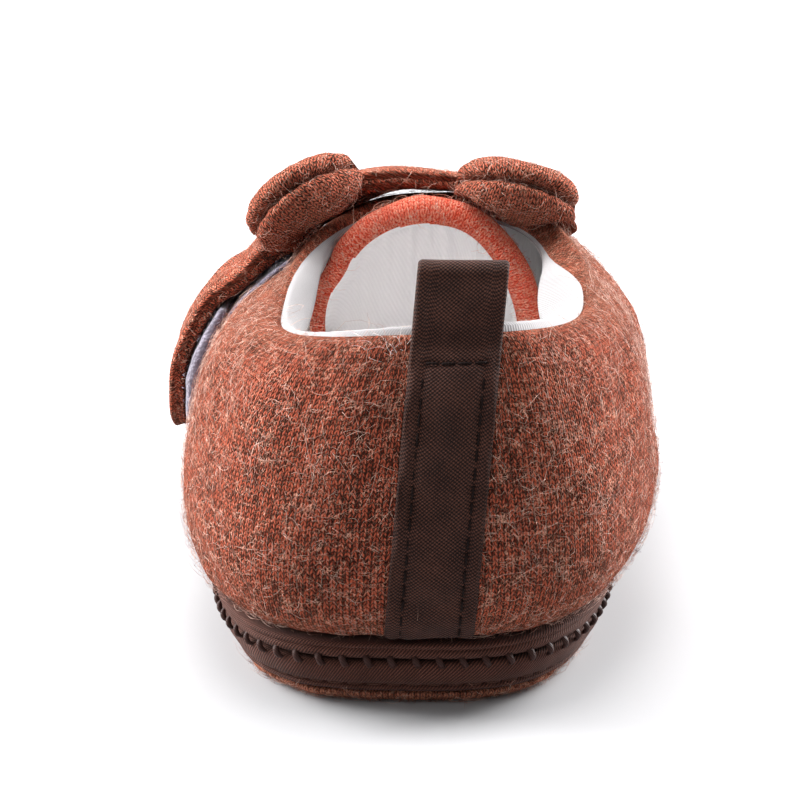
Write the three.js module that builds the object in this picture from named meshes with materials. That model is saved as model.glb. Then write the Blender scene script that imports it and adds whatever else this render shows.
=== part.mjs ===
// A soft padded baby shoe for the left foot: a knit upper with a rolled collar, a short tongue,
// a strap with two stuffed ears over the instep, a pull tab up the heel and a cloth-covered sole.
// Millimetres, +Z up, +Y towards the toe, +X towards the inner side of the foot.
// The origin is on the floor under the middle of the shoe's box.
import * as THREE from "three";

// Driving sizes of the whole shoe
const shoeLength = 124; // heel swell to toe
const heelWidth = 66.4; // across the padded heel
const ballWidth = 66.5; // across the padded forefoot
const heelHeight = 50.4; // floor to the knit's edge at the back of the collar
const sideHeight = 46.2; // floor to the same edge at the side of the collar
const instepHeight = 52.4; // floor to the same edge at the front of the collar
const collarLean = 2.8; // how far the soft collar leans inward over the sole
const collarTilt = 1; // how much higher the collar's inner side stands than its middle
const inflare = 3; // how far the toe turns in towards the big toe's side
const toeSpring = 4; // how far the toe is lifted off the floor
const springStart = 20; // where along the length the toe begins to lift

// Sole sizes
const soleInset = 3.75; // how far the upper swells past the sole at the heel and at the toe
const soleLength = shoeLength - 2 * soleInset;
const soleHeelWidth = 56;
const soleBallWidth = 59;
const soleFlare = 3.2; // how far the sole spreads from the floor to its top
const padThickness = 1.9; // knit cloth pad that meets the floor
const bandHeight = 4.9; // cloth-wrapped sole body
const weltHeight = 2.4; // folded strip round the top of the sole
const weltWidth = 5.2;
const padTuck = 3.4; // how far the pad's flat face stays inside the sole's edge
const insoleThickness = 2;

// Upper, tongue, strap and trim sizes
const wall = 3.4; // knit, foam and lining together
const rollSides = 5; // the collar's padded roll beside the ankle
const rollLean = 0.8; // how much thicker it is on the inner side than the mean of both
const rollEnds = 3.4; // the same at the heel and beside the tongue
const tongueWidth = 33;
const tongueTaper = 2.6; // how much narrower it becomes where it passes under the vamp
const tongueDrop = 19; // from the tongue's top down to its side edges
const tongueThickness = 4.2;
const tongueLength = 24; // from its free edge to its seam under the vamp
const tongueTop = 54.9; // floor to the top of the tongue
const tongueBack = -2.4; // where along the length its free edge lies
const tongueCentre = -0.5; // how far its middle is from the heel's middle
const tongueEase = 0.5; // room between it and the collar's roll
const tongueThin = 2.6; // its thickness under the vamp
const tongueSink = 7.4; // how far it falls to pass under the vamp's edge
const tongueSlope = 7; // how much farther it falls towards its seam
const strapWidth = 23;
const strapThickness = 2.4;
const strapSlack = 2.2; // how far it arches off the vamp on the outer side
const strapBack = 6; // where along the length the strap's back edge lies
const strapCorner = 6; // radius of the loose end's corners
const tapeThickness = 0.9;
const tapeWidth = 17;
const tapeInset = 1.8; // from the strap's back edge to the tape's
const earWidth = 17.6;
const earReach = 11.8;
const earThickness = 8.8;
const earEase = 1; // how softly an ear presses against what it leans on
const earOuterLift = 0.6; // how far the outer ear's middle sits above the strap's middle
const earInnerLift = -0.9; // the same for the inner ear
const tabWidth = 11.6;
const tabThickness = 1.1;
const tabTop = 59.8; // floor to the top of the pull loop
const tabFoot = 1.9; // how far inward of the heel's middle the tab's foot is sewn
const tabHead = 6.2; // the same for its loop, which leans
const tabFold = 1.3; // half the gap between the loop's two legs, middle to middle
const tabInside = 7; // how far the tab reaches down inside the collar
const clearance = 0.3; // between pieces that touch

// Directions round the instep, in degrees from straight up, with the inner side positive
const strapLoose = -98;
const strapSewn = 36;
const loopFoot = -94;
const loopTop = -45;
const hookFoot = -93;
const hookTop = -66;
const tapeRamp = 9; // over this much turn the strap climbs onto each tape
const slackMiddle = -26;
const slackSpread = 24;
const earOuter = -31;
const earInner = 20;
const earTilt = 25; // how far the ears point up from level

// Faceting
const columns = 68; // round the shoe
const rowsPerRing = 2;
const loopSteps = 11;
const hookSteps = 7;
const padEnds = [75, 50, 25]; // degrees of a thick pad's rounded end
const thinEnd = 60; // degrees of a thin pad's bevelled end

// Heights of the layers of the sole
const bandBase = padThickness + clearance;
const weltBase = bandBase + bandHeight + clearance;
const soleTop = weltBase + weltHeight;
const upperBase = soleTop + clearance;

const mix = (a, b, k) => a + (b - a) * k;
const clamp01 = (k) => Math.min(1, Math.max(0, k));
const smooth = (k) => clamp01(k) ** 2 * (3 - 2 * clamp01(k));
const bump = (k, centre, spread) => Math.exp(-(((k - centre) / spread) ** 2));

// The toe's lift at a distance along the shoe.
function springAt(y) {
  const share = (y - springStart) / (soleLength / 2 - springStart);
  return toeSpring * Math.max(0, share) ** 2;
}

// A closed outline round the shoe, seen from above. The turn runs from 0 at the back of the heel,
// over the outer side (-X), to half a turn at the toe and back over the inner side.
function outlinePoint(ring, turn) {
  const c = -Math.cos(turn);
  const s = -Math.sin(turn);
  const power = 2 / (c < 0 ? ring.heelPower : ring.toePower);
  const along = Math.sign(c) * Math.abs(c) ** power;
  const across = Math.sign(s) * Math.abs(s) ** power;
  const half = mix(ring.heelHalf, ring.ballHalf, smooth((along + 0.5) / 1.1));
  const hollow = (across > 0 ? 1 : 0.35) * ring.hollow * bump(along, 0.02, 0.3);
  const y = mix(ring.back, ring.front, (along + 1) / 2);
  const turnIn = ring.flare * Math.max(0, along) ** 2;
  return { x: across * (half - hollow) + ring.lean + turnIn, y, along };
}

// Turns that space the columns evenly round the shoe's widest ring.
function evenTurns(ring, count) {
  const fine = 2000;
  const lengths = [0];
  let last = outlinePoint(ring, 0);
  for (let i = 1; i <= fine; i++) {
    const next = outlinePoint(ring, (i / fine) * 2 * Math.PI);
    lengths.push(lengths[i - 1] + Math.hypot(next.x - last.x, next.y - last.y));
    last = next;
  }
  const turns = [];
  for (let i = 0, k = 0; i < count; i++) {
    const wanted = (i / count) * lengths[fine];
    while (lengths[k + 1] < wanted) k++;
    const part = (wanted - lengths[k]) / (lengths[k + 1] - lengths[k]);
    turns.push(((k + part) / fine) * 2 * Math.PI);
  }
  return turns;
}

// Builds a closed solid from rings of points, joined in order. A looped set joins its last ring to
// its first. An open set is capped with rungs between each ring's two halves, which face each other.
function skin(rings, looped = false) {
  const n = rings[0].length;
  const points = rings.flat();
  const index = [];
  const triangle = (a, b, c) => {
    const [p, q, r] = [points[a], points[b], points[c]];
    const touching = p.distanceTo(q) < 1e-6 || q.distanceTo(r) < 1e-6 || r.distanceTo(p) < 1e-6;
    if (!touching) index.push(a, b, c);
  };
  const quad = (a, b, c, d) => {
    triangle(a, b, c);
    triangle(a, c, d);
  };
  const joins = looped ? rings.length : rings.length - 1;
  for (let r = 0; r < joins; r++) {
    const low = r * n;
    const high = ((r + 1) % rings.length) * n;
    for (let i = 0; i < n; i++) {
      const j = (i + 1) % n;
      quad(low + i, low + j, high + j, high + i);
    }
  }
  if (!looped) {
    const top = (rings.length - 1) * n;
    for (let i = 0; i < n / 2; i++) {
      const across = (n - i) % n;
      const next = i + 1;
      const nextAcross = n - i - 1;
      if (next > nextAcross) continue;
      quad(across, nextAcross, next, i);
      quad(top + i, top + next, top + nextAcross, top + across);
    }
  }
  let volume = 0;
  for (let i = 0; i < index.length; i += 3) {
    const [p, q, r] = [points[index[i]], points[index[i + 1]], points[index[i + 2]]];
    volume += p.dot(q.clone().cross(r));
  }
  if (volume < 0) index.reverse();
  const geometry = new THREE.BufferGeometry();
  const numbers = points.flatMap((p) => [p.x, p.y, p.z]);
  geometry.setAttribute("position", new THREE.Float32BufferAttribute(numbers, 3));
  geometry.setIndex(index);
  return geometry;
}

// Builds a soft slab round a grid of points on its middle surface, with rounded edges and ends.
// thicknessAt gives the thickness at a share of the way along the rows.
function pad(grid, thicknessAt, edgeSteps = 1) {
  const rows = grid.length;
  const cols = grid[0].length;
  const normalAt = (r, c) => {
    const along = grid[Math.min(rows - 1, r + 1)][c].clone().sub(grid[Math.max(0, r - 1)][c]);
    const across = grid[r][Math.min(cols - 1, c + 1)].clone().sub(grid[r][Math.max(0, c - 1)]);
    return along.cross(across).normalize();
  };
  const ringFor = (r, push, shrink) => {
    const half = (thicknessAt(r / (rows - 1)) / 2) * shrink;
    const spots = grid[r].map((p, c) => {
      const normal = normalAt(r, c);
      const inward = grid[r === 0 ? 1 : rows - 2][c];
      const outward = p.clone().sub(inward).normalize();
      return { p: p.clone().addScaledVector(outward, push), normal };
    });
    const edge = (c, inner, swing) => {
      const outward = grid[r][c].clone().sub(grid[r][inner]).normalize();
      return spots[c].p
        .clone()
        .addScaledVector(outward, half * Math.cos(swing))
        .addScaledVector(spots[c].normal, half * Math.sin(swing));
    };
    const swings = [];
    for (let e = 1; e <= (edgeSteps - 1) / 2; e++) swings.push((e / (edgeSteps + 1)) * Math.PI);
    return [
      edge(0, 1, 0),
      ...swings.map((swing) => edge(0, 1, -swing)),
      ...spots.map((s) => s.p.clone().addScaledVector(s.normal, -half)),
      ...swings.map((swing) => edge(cols - 1, cols - 2, -swing)).reverse(),
      edge(cols - 1, cols - 2, 0),
      ...swings.map((swing) => edge(cols - 1, cols - 2, swing)),
      ...spots.map((s) => s.p.clone().addScaledVector(s.normal, half)).reverse(),
      ...swings.map((swing) => edge(0, 1, swing)).reverse(),
    ];
  };
  const ends = edgeSteps > 1 ? padEnds : [thinEnd];
  const endRing = (r, share) => (degrees) => {
    const swing = THREE.MathUtils.degToRad(degrees);
    return ringFor(r, (thicknessAt(share) / 2) * Math.sin(swing), Math.cos(swing));
  };
  return skin([
    ...ends.map(endRing(0, 0)),
    ...grid.map((_, r) => ringFor(r, 0, 1)),
    ...[...ends].reverse().map(endRing(rows - 1, 1)),
  ]);
}

function piece(name, geometry, colour, roughness) {
  geometry.computeVertexNormals();
  const material = new THREE.MeshStandardMaterial({ color: colour, roughness, metalness: 0 });
  const mesh = new THREE.Mesh(geometry, material);
  mesh.name = name;
  return mesh;
}

const knitBrown = 0x8a4a36;
const clothBrown = 0x36211b;
const tongueRed = 0xc94a2c;
const liningWhite = 0xeae8e6;
const tapeGrey = 0xb4aec2;

// Rings of the upper, from the sole to the collar. back and front are shares of half the shoe's
// length, heel and ball of half its widths, the rises of the height from the sole to the collar at
// the heel, the side and the front, lean of the collar's lean, and turnIn of the toe's turn.
const ringColumns = ["back", "front", "heel", "ball", "lean", "turnIn", "heelRise", "sideRise", "frontRise"];
const upperRings = [
  [-0.915, 0.93, 0.825, 0.86, -0.5, 1, 0, 0, 0], // joint
  [-0.972, 0.98, 0.945, 0.955, -0.33, 0.91, 0.09, 0.095, 0.085], // low
  [-1, 1, 1, 1, -0.24, 0.72, 0.28, 0.27, 0.255], // swell
  [-0.992, 0.95, 0.972, 0.95, -0.15, 0.48, 0.52, 0.54, 0.5], // side
  [-0.965, 0.79, 0.905, 0.79, -0.05, 0.27, 0.73, 0.78, 0.7], // shoulder
  [-0.93, 0.5, 0.8, 0.62, 0.18, 0, 0.89, 0.93, 0.87], // turn
  [-0.882, 0.18, 0.625, 0.63, 0.48, -0.35, 1, 1, 1], // edge
]
  .map((shares) => Object.fromEntries(ringColumns.map((column, i) => [column, shares[i]])))
  .map((row) => ({
  back: (row.back * shoeLength) / 2,
  front: (row.front * shoeLength) / 2,
  heelHalf: (row.heel * heelWidth) / 2,
  ballHalf: (row.ball * ballWidth) / 2,
  heelPower: mix(3.2, 2.7, row.heelRise),
  toePower: 2.5,
  hollow: 1.6 * (1 - row.heelRise),
  lean: row.lean * collarLean,
  flare: row.turnIn * inflare,
  tilt: collarTilt * row.sideRise ** 3,
  heelZ: mix(upperBase, heelHeight, row.heelRise),
  sideZ: mix(upperBase, sideHeight, row.sideRise),
  frontZ: mix(upperBase, instepHeight, row.frontRise),
  springShare: 1 - smooth(row.frontRise / 0.7),
}));
const swellRing = upperRings[2];
const turns = evenTurns(swellRing, columns);

function ringPoint(ring, turn) {
  const p = outlinePoint(ring, turn);
  const toBack = Math.max(0, -p.along - 0.1) / 0.9;
  const toFront = Math.max(0, p.along + 0.15) / 1.15;
  const z =
    ring.sideZ +
    (ring.heelZ - ring.sideZ) * toBack ** 1.6 +
    (ring.frontZ - ring.sideZ) * toFront ** 1.7 +
    springAt(p.y) * ring.springShare -
    ring.tilt * Math.sin(turn);
  return new THREE.Vector3(p.x, p.y, z);
}

// The upper's outer face. level runs from 0 at the sole to 1 at the collar's edge.
function upperPoint(turn, level) {
  const last = upperRings.length - 1;
  const at = clamp01(level) * last;
  const k = Math.min(last - 1, Math.floor(at));
  const f = at - k;
  const p1 = ringPoint(upperRings[k], turn);
  const p2 = ringPoint(upperRings[k + 1], turn);
  const p0 = k > 0 ? ringPoint(upperRings[k - 1], turn) : p1.clone().multiplyScalar(2).sub(p2);
  const p3 = k + 2 <= last ? ringPoint(upperRings[k + 2], turn) : p2.clone().multiplyScalar(2).sub(p1);
  const coordinate = (axis) => {
    const [a, b, c, d] = [p0[axis], p1[axis], p2[axis], p3[axis]];
    const squared = 2 * a - 5 * b + 4 * c - d;
    const cubed = 3 * b - a - 3 * c + d;
    return 0.5 * (2 * b + (c - a) * f + squared * f ** 2 + cubed * f ** 3);
  };
  return new THREE.Vector3(coordinate("x"), coordinate("y"), coordinate("z"));
}

// The outward normal and the upward direction of the upper's outer face.
function upperFrame(turn, level) {
  const small = 0.004;
  const round = upperPoint(turn - small, level).sub(upperPoint(turn + small, level));
  const up = upperPoint(turn, Math.min(1, level + small)).sub(upperPoint(turn, Math.max(0, level - small)));
  const normal = round.cross(up).normalize();
  const flat = new THREE.Vector3(normal.x, normal.y, 0).normalize();
  return { normal, flat, up: up.normalize() };
}

// The collar's roll is fullest at the sides, behind the tongue.
function rollAt(turn) {
  const { along } = outlinePoint(upperRings[6], turn);
  return mix(rollEnds, rollSides - rollLean * Math.sin(turn), bump(along, -0.35, 0.55));
}

// The wall's thickness: the padding swells or thins towards the collar's edge.
const wallAt = (turn, level) => mix(wall, rollAt(turn), smooth((level - 0.72) / 0.28));

function upperInnerPoint(turn, level) {
  const { normal, flat } = upperFrame(turn, level);
  const direction = flat.lerp(normal, smooth(level / 0.16)).normalize();
  return upperPoint(turn, level).addScaledVector(direction, -wallAt(turn, level));
}

function upper() {
  const rowCount = (upperRings.length - 1) * rowsPerRing;
  const rollSteps = 4;
  const rings = [];
  for (let r = 0; r <= rowCount; r++) rings.push(turns.map((turn) => upperPoint(turn, r / rowCount)));
  for (let r = 1; r < rollSteps; r++) {
    const swing = (r / rollSteps) * Math.PI;
    rings.push(
      turns.map((turn) => {
        const { normal, up } = upperFrame(turn, 1);
        const radius = rollAt(turn) / 2;
        return upperPoint(turn, 1)
          .addScaledVector(normal, -radius + radius * Math.cos(swing))
          .addScaledVector(up, radius * Math.sin(swing));
      }),
    );
  }
  for (let r = rowCount; r >= 0; r--) rings.push(turns.map((turn) => upperInnerPoint(turn, r / rowCount)));
  return skin(rings, true);
}

// Rings of the sole's layers. Each takes the outline at a height, where the sole flares outward,
// and steps in or out by a small amount.
function solePoints(z, step) {
  const tuck = soleFlare * (1 - z / soleTop) ** 1.5 - step;
  const ring = {
    back: -soleLength / 2 + tuck,
    front: soleLength / 2 - tuck,
    heelHalf: soleHeelWidth / 2 - tuck,
    ballHalf: soleBallWidth / 2 - tuck,
    heelPower: 3.3,
    toePower: 2.5,
    hollow: 1.9,
    lean: upperRings[0].lean,
    flare: inflare,
  };
  return turns.map((turn) => {
    const p = outlinePoint(ring, turn);
    return new THREE.Vector3(p.x, p.y, z + springAt(p.y));
  });
}

// A pad of knit cloth, rounded up at its edge.
function outsole() {
  return skin([
    solePoints(0, -padTuck),
    solePoints(0.12, -padTuck * 0.45),
    solePoints(0.6, -0.9),
    solePoints(1.2, -0.35),
    solePoints(padThickness, -0.5),
  ]);
}

// The sole's body in cloth: a narrow turned edge, a seam line, and the band, with a flat top
// inside the welt.
function midsole() {
  const top = bandBase + bandHeight;
  const inside = -weltWidth - clearance;
  return skin([
    solePoints(bandBase, -0.5),
    solePoints(bandBase + 0.3, 0.05),
    solePoints(bandBase + 0.85, 0.1),
    solePoints(bandBase + 1.1, -0.35),
    solePoints(bandBase + 1.4, 0.15),
    solePoints(mix(bandBase, top, 0.6), 0.4),
    solePoints(top - 0.6, 0.2),
    solePoints(top, -0.5),
    solePoints(top, inside),
    solePoints(soleTop, inside),
  ]);
}

// The folded strip round the sole's top, which the upper is sewn to.
function welt() {
  const crease = mix(weltBase, soleTop, 0.62);
  return skin(
    [
      solePoints(weltBase, -weltWidth),
      solePoints(weltBase, -0.55),
      solePoints(weltBase + 0.35, 0.1),
      solePoints(mix(weltBase, crease, 0.6), 0.35),
      solePoints(crease, 0.05),
      solePoints(mix(crease, soleTop, 0.5), 0.2),
      solePoints(soleTop, -0.35),
      solePoints(soleTop, -weltWidth),
    ],
    true,
  );
}

// The cushioned sock on which the foot stands, cut to the upper's inside.
function insole() {
  const points = (lift, inset) =>
    turns.map((turn) => {
      const edge = upperInnerPoint(turn, 0);
      edge.addScaledVector(upperFrame(turn, 0).flat, -clearance - inset);
      edge.z = upperBase + lift + springAt(edge.y);
      return edge;
    });
  return skin([
    points(0, 0.3),
    points(0.5, 0),
    points(insoleThickness - 0.6, 0),
    points(insoleThickness, 0.6),
  ]);
}

// Where a straight line meets the finished upper, nearest or farthest from its start.
const upperMesh = piece("upper", upper(), knitBrown, 0.95);
upperMesh.material.side = THREE.DoubleSide;
const caster = new THREE.Raycaster();
function upperHit(start, direction, which) {
  caster.set(start, direction);
  return caster.intersectObject(upperMesh).at(which === "nearest" ? 0 : -1);
}

// A point over the instep, lifted off the upper. Behind the collar's front edge the surface is
// carried on in a straight line.
const axisX = 0.6;
const axisZ = 22;
const vampStart = 14;
const vampStep = 6;
function saddlePoint(y, degrees, lift) {
  const swing = THREE.MathUtils.degToRad(degrees);
  const direction = new THREE.Vector3(Math.sin(swing), 0, Math.cos(swing));
  const reach = (at) => upperHit(new THREE.Vector3(axisX, at, axisZ), direction, "farthest").distance;
  const onVamp = Math.max(y, vampStart);
  const slope = y < vampStart ? (reach(vampStart + vampStep) - reach(vampStart)) / vampStep : 0;
  const distance = reach(onVamp) + slope * (y - onVamp) + lift;
  return new THREE.Vector3(axisX, y, axisZ).addScaledVector(direction, distance);
}

// How far the strap's underside stands off the upper: it rides over both tapes at its loose end.
function strapStand(degrees) {
  const step = tapeThickness + clearance;
  const over = (tapeTop) => step * smooth((tapeTop - degrees) / tapeRamp + 1);
  const slack = strapSlack * bump(degrees, slackMiddle, slackSpread);
  return clearance + over(loopTop) + over(hookTop) + slack;
}
const strapMiddle = (degrees) => strapStand(degrees) + strapThickness / 2;

const range = (from, to, count) => Array.from({ length: count + 1 }, (_, i) => mix(from, to, i / count));

// The strap over the instep, from its loose outer end to the end sewn down beside the inner ear.
function strap() {
  const half = strapWidth / 2 - strapThickness / 2;
  const middle = strapBack + strapWidth / 2;
  const grid = range(strapLoose, strapSewn, 30).map((degrees) => {
    const fromEnd = ((degrees - strapLoose) / 180) * Math.PI * (heelWidth / 2);
    const cut = strapCorner - Math.min(strapCorner, fromEnd);
    const reach = half - strapCorner + Math.sqrt(strapCorner ** 2 - cut ** 2);
    return range(middle - reach, middle + reach, 5).map((y) => saddlePoint(y, degrees, strapMiddle(degrees)));
  });
  return pad(grid, () => strapThickness);
}

// A strip of fastening tape between two directions round the instep.
function tape(from, to, steps, lift) {
  const back = strapBack + tapeInset;
  const grid = range(from, to, steps).map((degrees) =>
    range(back, back + tapeWidth, 4).map((y) => saddlePoint(y, degrees, lift)),
  );
  return pad(grid, () => tapeThickness);
}

// The short padded tongue: an arch that rises from under the vamp.
function tongue() {
  const half = tongueThickness / 2;
  const centre = new THREE.Vector3(tongueCentre, 0, tongueTop - tongueDrop);
  const grid = range(0, 1, 9).map((share) => {
    const y = tongueBack + half + share * (tongueLength - half);
    const sink = tongueSink * smooth(share / 0.5) + tongueSlope * Math.max(0, share - 0.5);
    const reach = (tongueWidth - tongueTaper * smooth(share / 0.3)) / 2 - half;
    return range(-94, 94, 16).map((degrees) => {
      const swing = THREE.MathUtils.degToRad(degrees);
      const wanted = new THREE.Vector3(
        centre.x + reach * Math.sin(swing),
        y,
        centre.z + (tongueDrop - half) * Math.cos(swing) - sink * Math.max(0, Math.cos(swing)),
      );
      const outward = wanted.clone().sub(new THREE.Vector3(centre.x, y, centre.z));
      const room = upperHit(new THREE.Vector3(centre.x, y, centre.z), outward.clone().normalize(), "nearest");
      const limit = room ? room.distance - half - tongueEase : Infinity;
      return wanted.sub(outward).add(outward.clampLength(0, limit));
    });
  });
  return pad(grid, (share) => mix(tongueThickness, tongueThin, smooth(share / 0.6)), 3);
}

const tongueMesh = piece("tongue", tongue(), tongueRed, 0.95);

// Section through an ear from its middle to the seam round its rim: reach is a share of the
// distance to the rim, height a share of half the thickness.
const earSection = [
  { reach: 0, height: 1 },
  { reach: 0.34, height: 0.98 },
  { reach: 0.6, height: 0.9 },
  { reach: 0.8, height: 0.76 },
  { reach: 0.93, height: 0.56 },
  { reach: 1, height: 0.34 },
  { reach: 0.985, height: 0.16 },
  { reach: 0.9, height: 0 },
];

// The least height at which a soft piece can rest over a spot without touching what is below it.
const down = new THREE.Vector3(0, 0, -1);
function restHeight(x, y) {
  let height = 0;
  for (const [stepX, stepY] of [[0, 0], [earEase, 0], [-earEase, 0], [0, earEase], [0, -earEase]]) {
    caster.set(new THREE.Vector3(x + stepX, y + stepY, 2 * tabTop), down);
    const hit = caster.intersectObjects([upperMesh, tongueMesh])[0];
    if (hit) height = Math.max(height, hit.point.z + 2 * clearance);
  }
  return height;
}

// A stuffed half-round ear, sewn to the strap's back edge. Where it leans on the upper it is
// pressed flat.
function ear(degrees, lift) {
  const root = saddlePoint(strapBack, degrees, strapMiddle(degrees) + lift);
  const beside = saddlePoint(strapBack, degrees + 4, strapMiddle(degrees + 4) + lift);
  const wide = beside.sub(root).normalize();
  const outward = new THREE.Vector3(0, 1, 0).cross(wide).normalize();
  if (outward.z < 0) outward.negate();
  const tilt = THREE.MathUtils.degToRad(earTilt);
  const back = new THREE.Vector3(0, -1, 0);
  const reach = back.clone().multiplyScalar(Math.cos(tilt)).addScaledVector(outward, Math.sin(tilt));
  const thick = outward.clone().multiplyScalar(Math.cos(tilt)).addScaledVector(back, -Math.sin(tilt));
  const gap = clearance + (strapThickness / 2 + Math.abs(lift)) * Math.sin(tilt);
  const place = (swing, section, side) => {
    const spot = root
      .clone()
      .addScaledVector(back, gap)
      .addScaledVector(wide, (-Math.cos(swing) * section.reach * earWidth) / 2)
      .addScaledVector(reach, Math.sin(swing) * section.reach * earReach)
      .addScaledVector(thick, (side * section.height * earThickness) / 2);
    const floor = restHeight(spot.x, spot.y);
    const above = (spot.z - floor) / earEase - 1;
    if (above < 0) spot.z = floor + earEase * Math.exp(above);
    return spot;
  };
  const fromSeam = [...earSection].reverse();
  const pages = range(0, Math.PI, 18).map((swing) => [
    ...fromSeam.map((section) => place(swing, section, 1)),
    ...fromSeam.slice(1).reverse().map((section) => place(swing, section, -1)),
  ]);
  return skin(pages);
}

// The pull tab: tape sewn up the heel, folded into a loop over the collar and down inside it.
function heelTab() {
  const half = tabThickness / 2;
  const gap = half + clearance + 0.1;
  const edge = upperPoint(0, 1);
  const rollTop = edge.z + rollEnds / 2;
  const footZ = upperBase + clearance;
  const centreAt = (z) => mix(tabFoot, tabHead, (z - footZ) / (tabTop - footZ));
  const acrossTab = (z, depthAt) =>
    range(-1, 1, 4).map((side) => {
      const x = centreAt(z) + (side * (tabWidth - tabThickness)) / 2;
      return new THREE.Vector3(x, depthAt(x, z), z);
    });
  const inward = new THREE.Vector3(0, -1, 0);
  const beside = (x, z, which, side) => {
    const hit = upperHit(new THREE.Vector3(x, -20, z), inward, which);
    return hit.point.y + (side * gap) / Math.abs(hit.face.normal.y);
  };
  const outside = (x, z) => beside(x, z, "farthest", -1);
  const inside = (x, z) => beside(x, z, "nearest", 1);
  const overRoll = (x) => inside(x, edge.z - 0.5);
  const foldY = edge.y + rollEnds / 2;
  const outerLeg = range(footZ, edge.z - 1, 10).map((z) => acrossTab(z, outside));
  const innerLeg = range(edge.z - 1.5, edge.z - tabInside, 2).map((z) => acrossTab(z, inside));
  const free = [
    { depthAt: (x) => mix(outside(x, edge.z - 1), foldY - tabFold, 0.25), z: rollTop },
    { depthAt: () => foldY - tabFold * 1.5, z: mix(rollTop, tabTop, 0.4) },
    { depthAt: () => foldY - tabFold, z: mix(rollTop, tabTop, 0.72) },
    { depthAt: () => foldY - tabFold * 0.8, z: tabTop - half - tabFold * 0.45 },
    { depthAt: () => foldY, z: tabTop - half },
    { depthAt: () => foldY + tabFold * 0.8, z: tabTop - half - tabFold * 0.45 },
    { depthAt: () => foldY + tabFold, z: mix(rollTop, tabTop, 0.72) },
    { depthAt: () => foldY + tabFold * 1.5, z: mix(rollTop, tabTop, 0.4) },
    { depthAt: overRoll, z: rollTop },
  ].map((spot) => acrossTab(spot.z, spot.depthAt));
  return pad([...outerLeg, ...free, ...innerLeg], () => tabThickness);
}

const shoe = new THREE.Group();
shoe.add(
  piece("outsole", outsole(), knitBrown, 0.95),
  piece("midsole", midsole(), clothBrown, 0.85),
  piece("welt", welt(), clothBrown, 0.85),
  piece("insole", insole(), liningWhite, 0.9),
  upperMesh,
  tongueMesh,
  piece("loop_tape", tape(loopFoot, loopTop, loopSteps, clearance + tapeThickness / 2), tapeGrey, 0.9),
  piece("hook_tape", tape(hookFoot, hookTop, hookSteps, 2 * clearance + tapeThickness * 1.5), tapeGrey, 0.8),
  piece("strap", strap(), knitBrown, 0.95),
  piece("ear_outer", ear(earOuter, earOuterLift), knitBrown, 0.95),
  piece("ear_inner", ear(earInner, earInnerLift), knitBrown, 0.95),
  piece("heel_tab", heelTab(), clothBrown, 0.85),
);

// The origin is moved under the middle of the whole shoe's box.
const box = new THREE.Box3().setFromObject(shoe);
shoe.position.set(-(box.min.x + box.max.x) / 2, -(box.min.y + box.max.y) / 2, -box.min.z);

export default shoe;
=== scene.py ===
import math
import bpy
import bmesh
import numpy as np
from mathutils import Matrix, Vector
from mathutils.bvhtree import BVHTree


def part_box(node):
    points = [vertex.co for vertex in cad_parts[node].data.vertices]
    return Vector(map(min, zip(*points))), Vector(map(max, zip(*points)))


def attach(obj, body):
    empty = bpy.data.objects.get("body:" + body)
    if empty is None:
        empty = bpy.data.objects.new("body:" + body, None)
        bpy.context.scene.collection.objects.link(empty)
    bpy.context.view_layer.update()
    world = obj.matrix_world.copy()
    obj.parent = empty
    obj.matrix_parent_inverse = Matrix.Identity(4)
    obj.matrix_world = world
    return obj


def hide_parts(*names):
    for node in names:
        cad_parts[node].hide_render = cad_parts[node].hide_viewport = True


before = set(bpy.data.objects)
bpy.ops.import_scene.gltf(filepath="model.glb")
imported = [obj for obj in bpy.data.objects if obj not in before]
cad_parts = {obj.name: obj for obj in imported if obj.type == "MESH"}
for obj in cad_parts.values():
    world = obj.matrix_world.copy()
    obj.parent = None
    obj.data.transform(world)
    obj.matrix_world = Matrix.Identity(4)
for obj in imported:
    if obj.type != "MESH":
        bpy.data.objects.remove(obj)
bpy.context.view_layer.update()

bpy.ops.object.select_all(action="DESELECT")

# Studio: the shoe stands on pale paper between two large soft lights, with weaker ones overhead and
# beside the camera. The picture is taken from behind the heel, a little from above.
def new_material(name):
    """A new material, with its node tree and its surface."""
    material = bpy.data.materials.new(name)
    material.use_nodes = True
    return material, material.node_tree, material.node_tree.nodes["Principled BSDF"]


def set_inputs(node, values):
    for name, value in values.items():
        node.inputs[name].default_value = value


bpy.ops.mesh.primitive_grid_add(x_subdivisions=8, y_subdivisions=8, size=6.0, location=(0, 0, 0))
paper = bpy.context.active_object
paper.name = "paper_floor"
paper_white, _, paper_surface = new_material("paper_white")
set_inputs(paper_surface, {"Base Color": (0.38, 0.38, 0.39, 1), "Roughness": 0.85})
paper.data.materials.append(paper_white)

studio = bpy.data.worlds.new("studio")
bpy.context.scene.world = studio
studio.use_nodes = True
set_inputs(studio.node_tree.nodes["Background"], {"Color": (1.0, 1.0, 1.0, 1), "Strength": 0.27})
bpy.context.scene.view_settings.view_transform = "Standard"


def softbox(name, place, aim, size, watts):
    bpy.ops.object.light_add(type="AREA", location=place)
    lamp = bpy.context.active_object
    lamp.name = name
    lamp.data.shape = "RECTANGLE"
    lamp.data.size, lamp.data.size_y = size
    lamp.data.energy = watts
    lamp.rotation_euler = (Vector(aim) - Vector(place)).to_track_quat("-Z", "Y").to_euler()


softbox("left_softbox", (-0.56, 0.15, 0.30), (0, 0, 0.03), (0.45, 0.45), 16.0)
softbox("right_softbox", (0.52, 0.40, 0.30), (0, 0, 0.03), (0.45, 0.45), 18.0)
softbox("top_softbox", (-0.04, 0.04, 0.8), (0, 0, 0.03), (0.5, 0.5), 8.0)
softbox("front_softbox", (-0.3, -0.75, 0.6), (0, 0, 0.03), (0.4, 0.4), 1.2)

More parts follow.
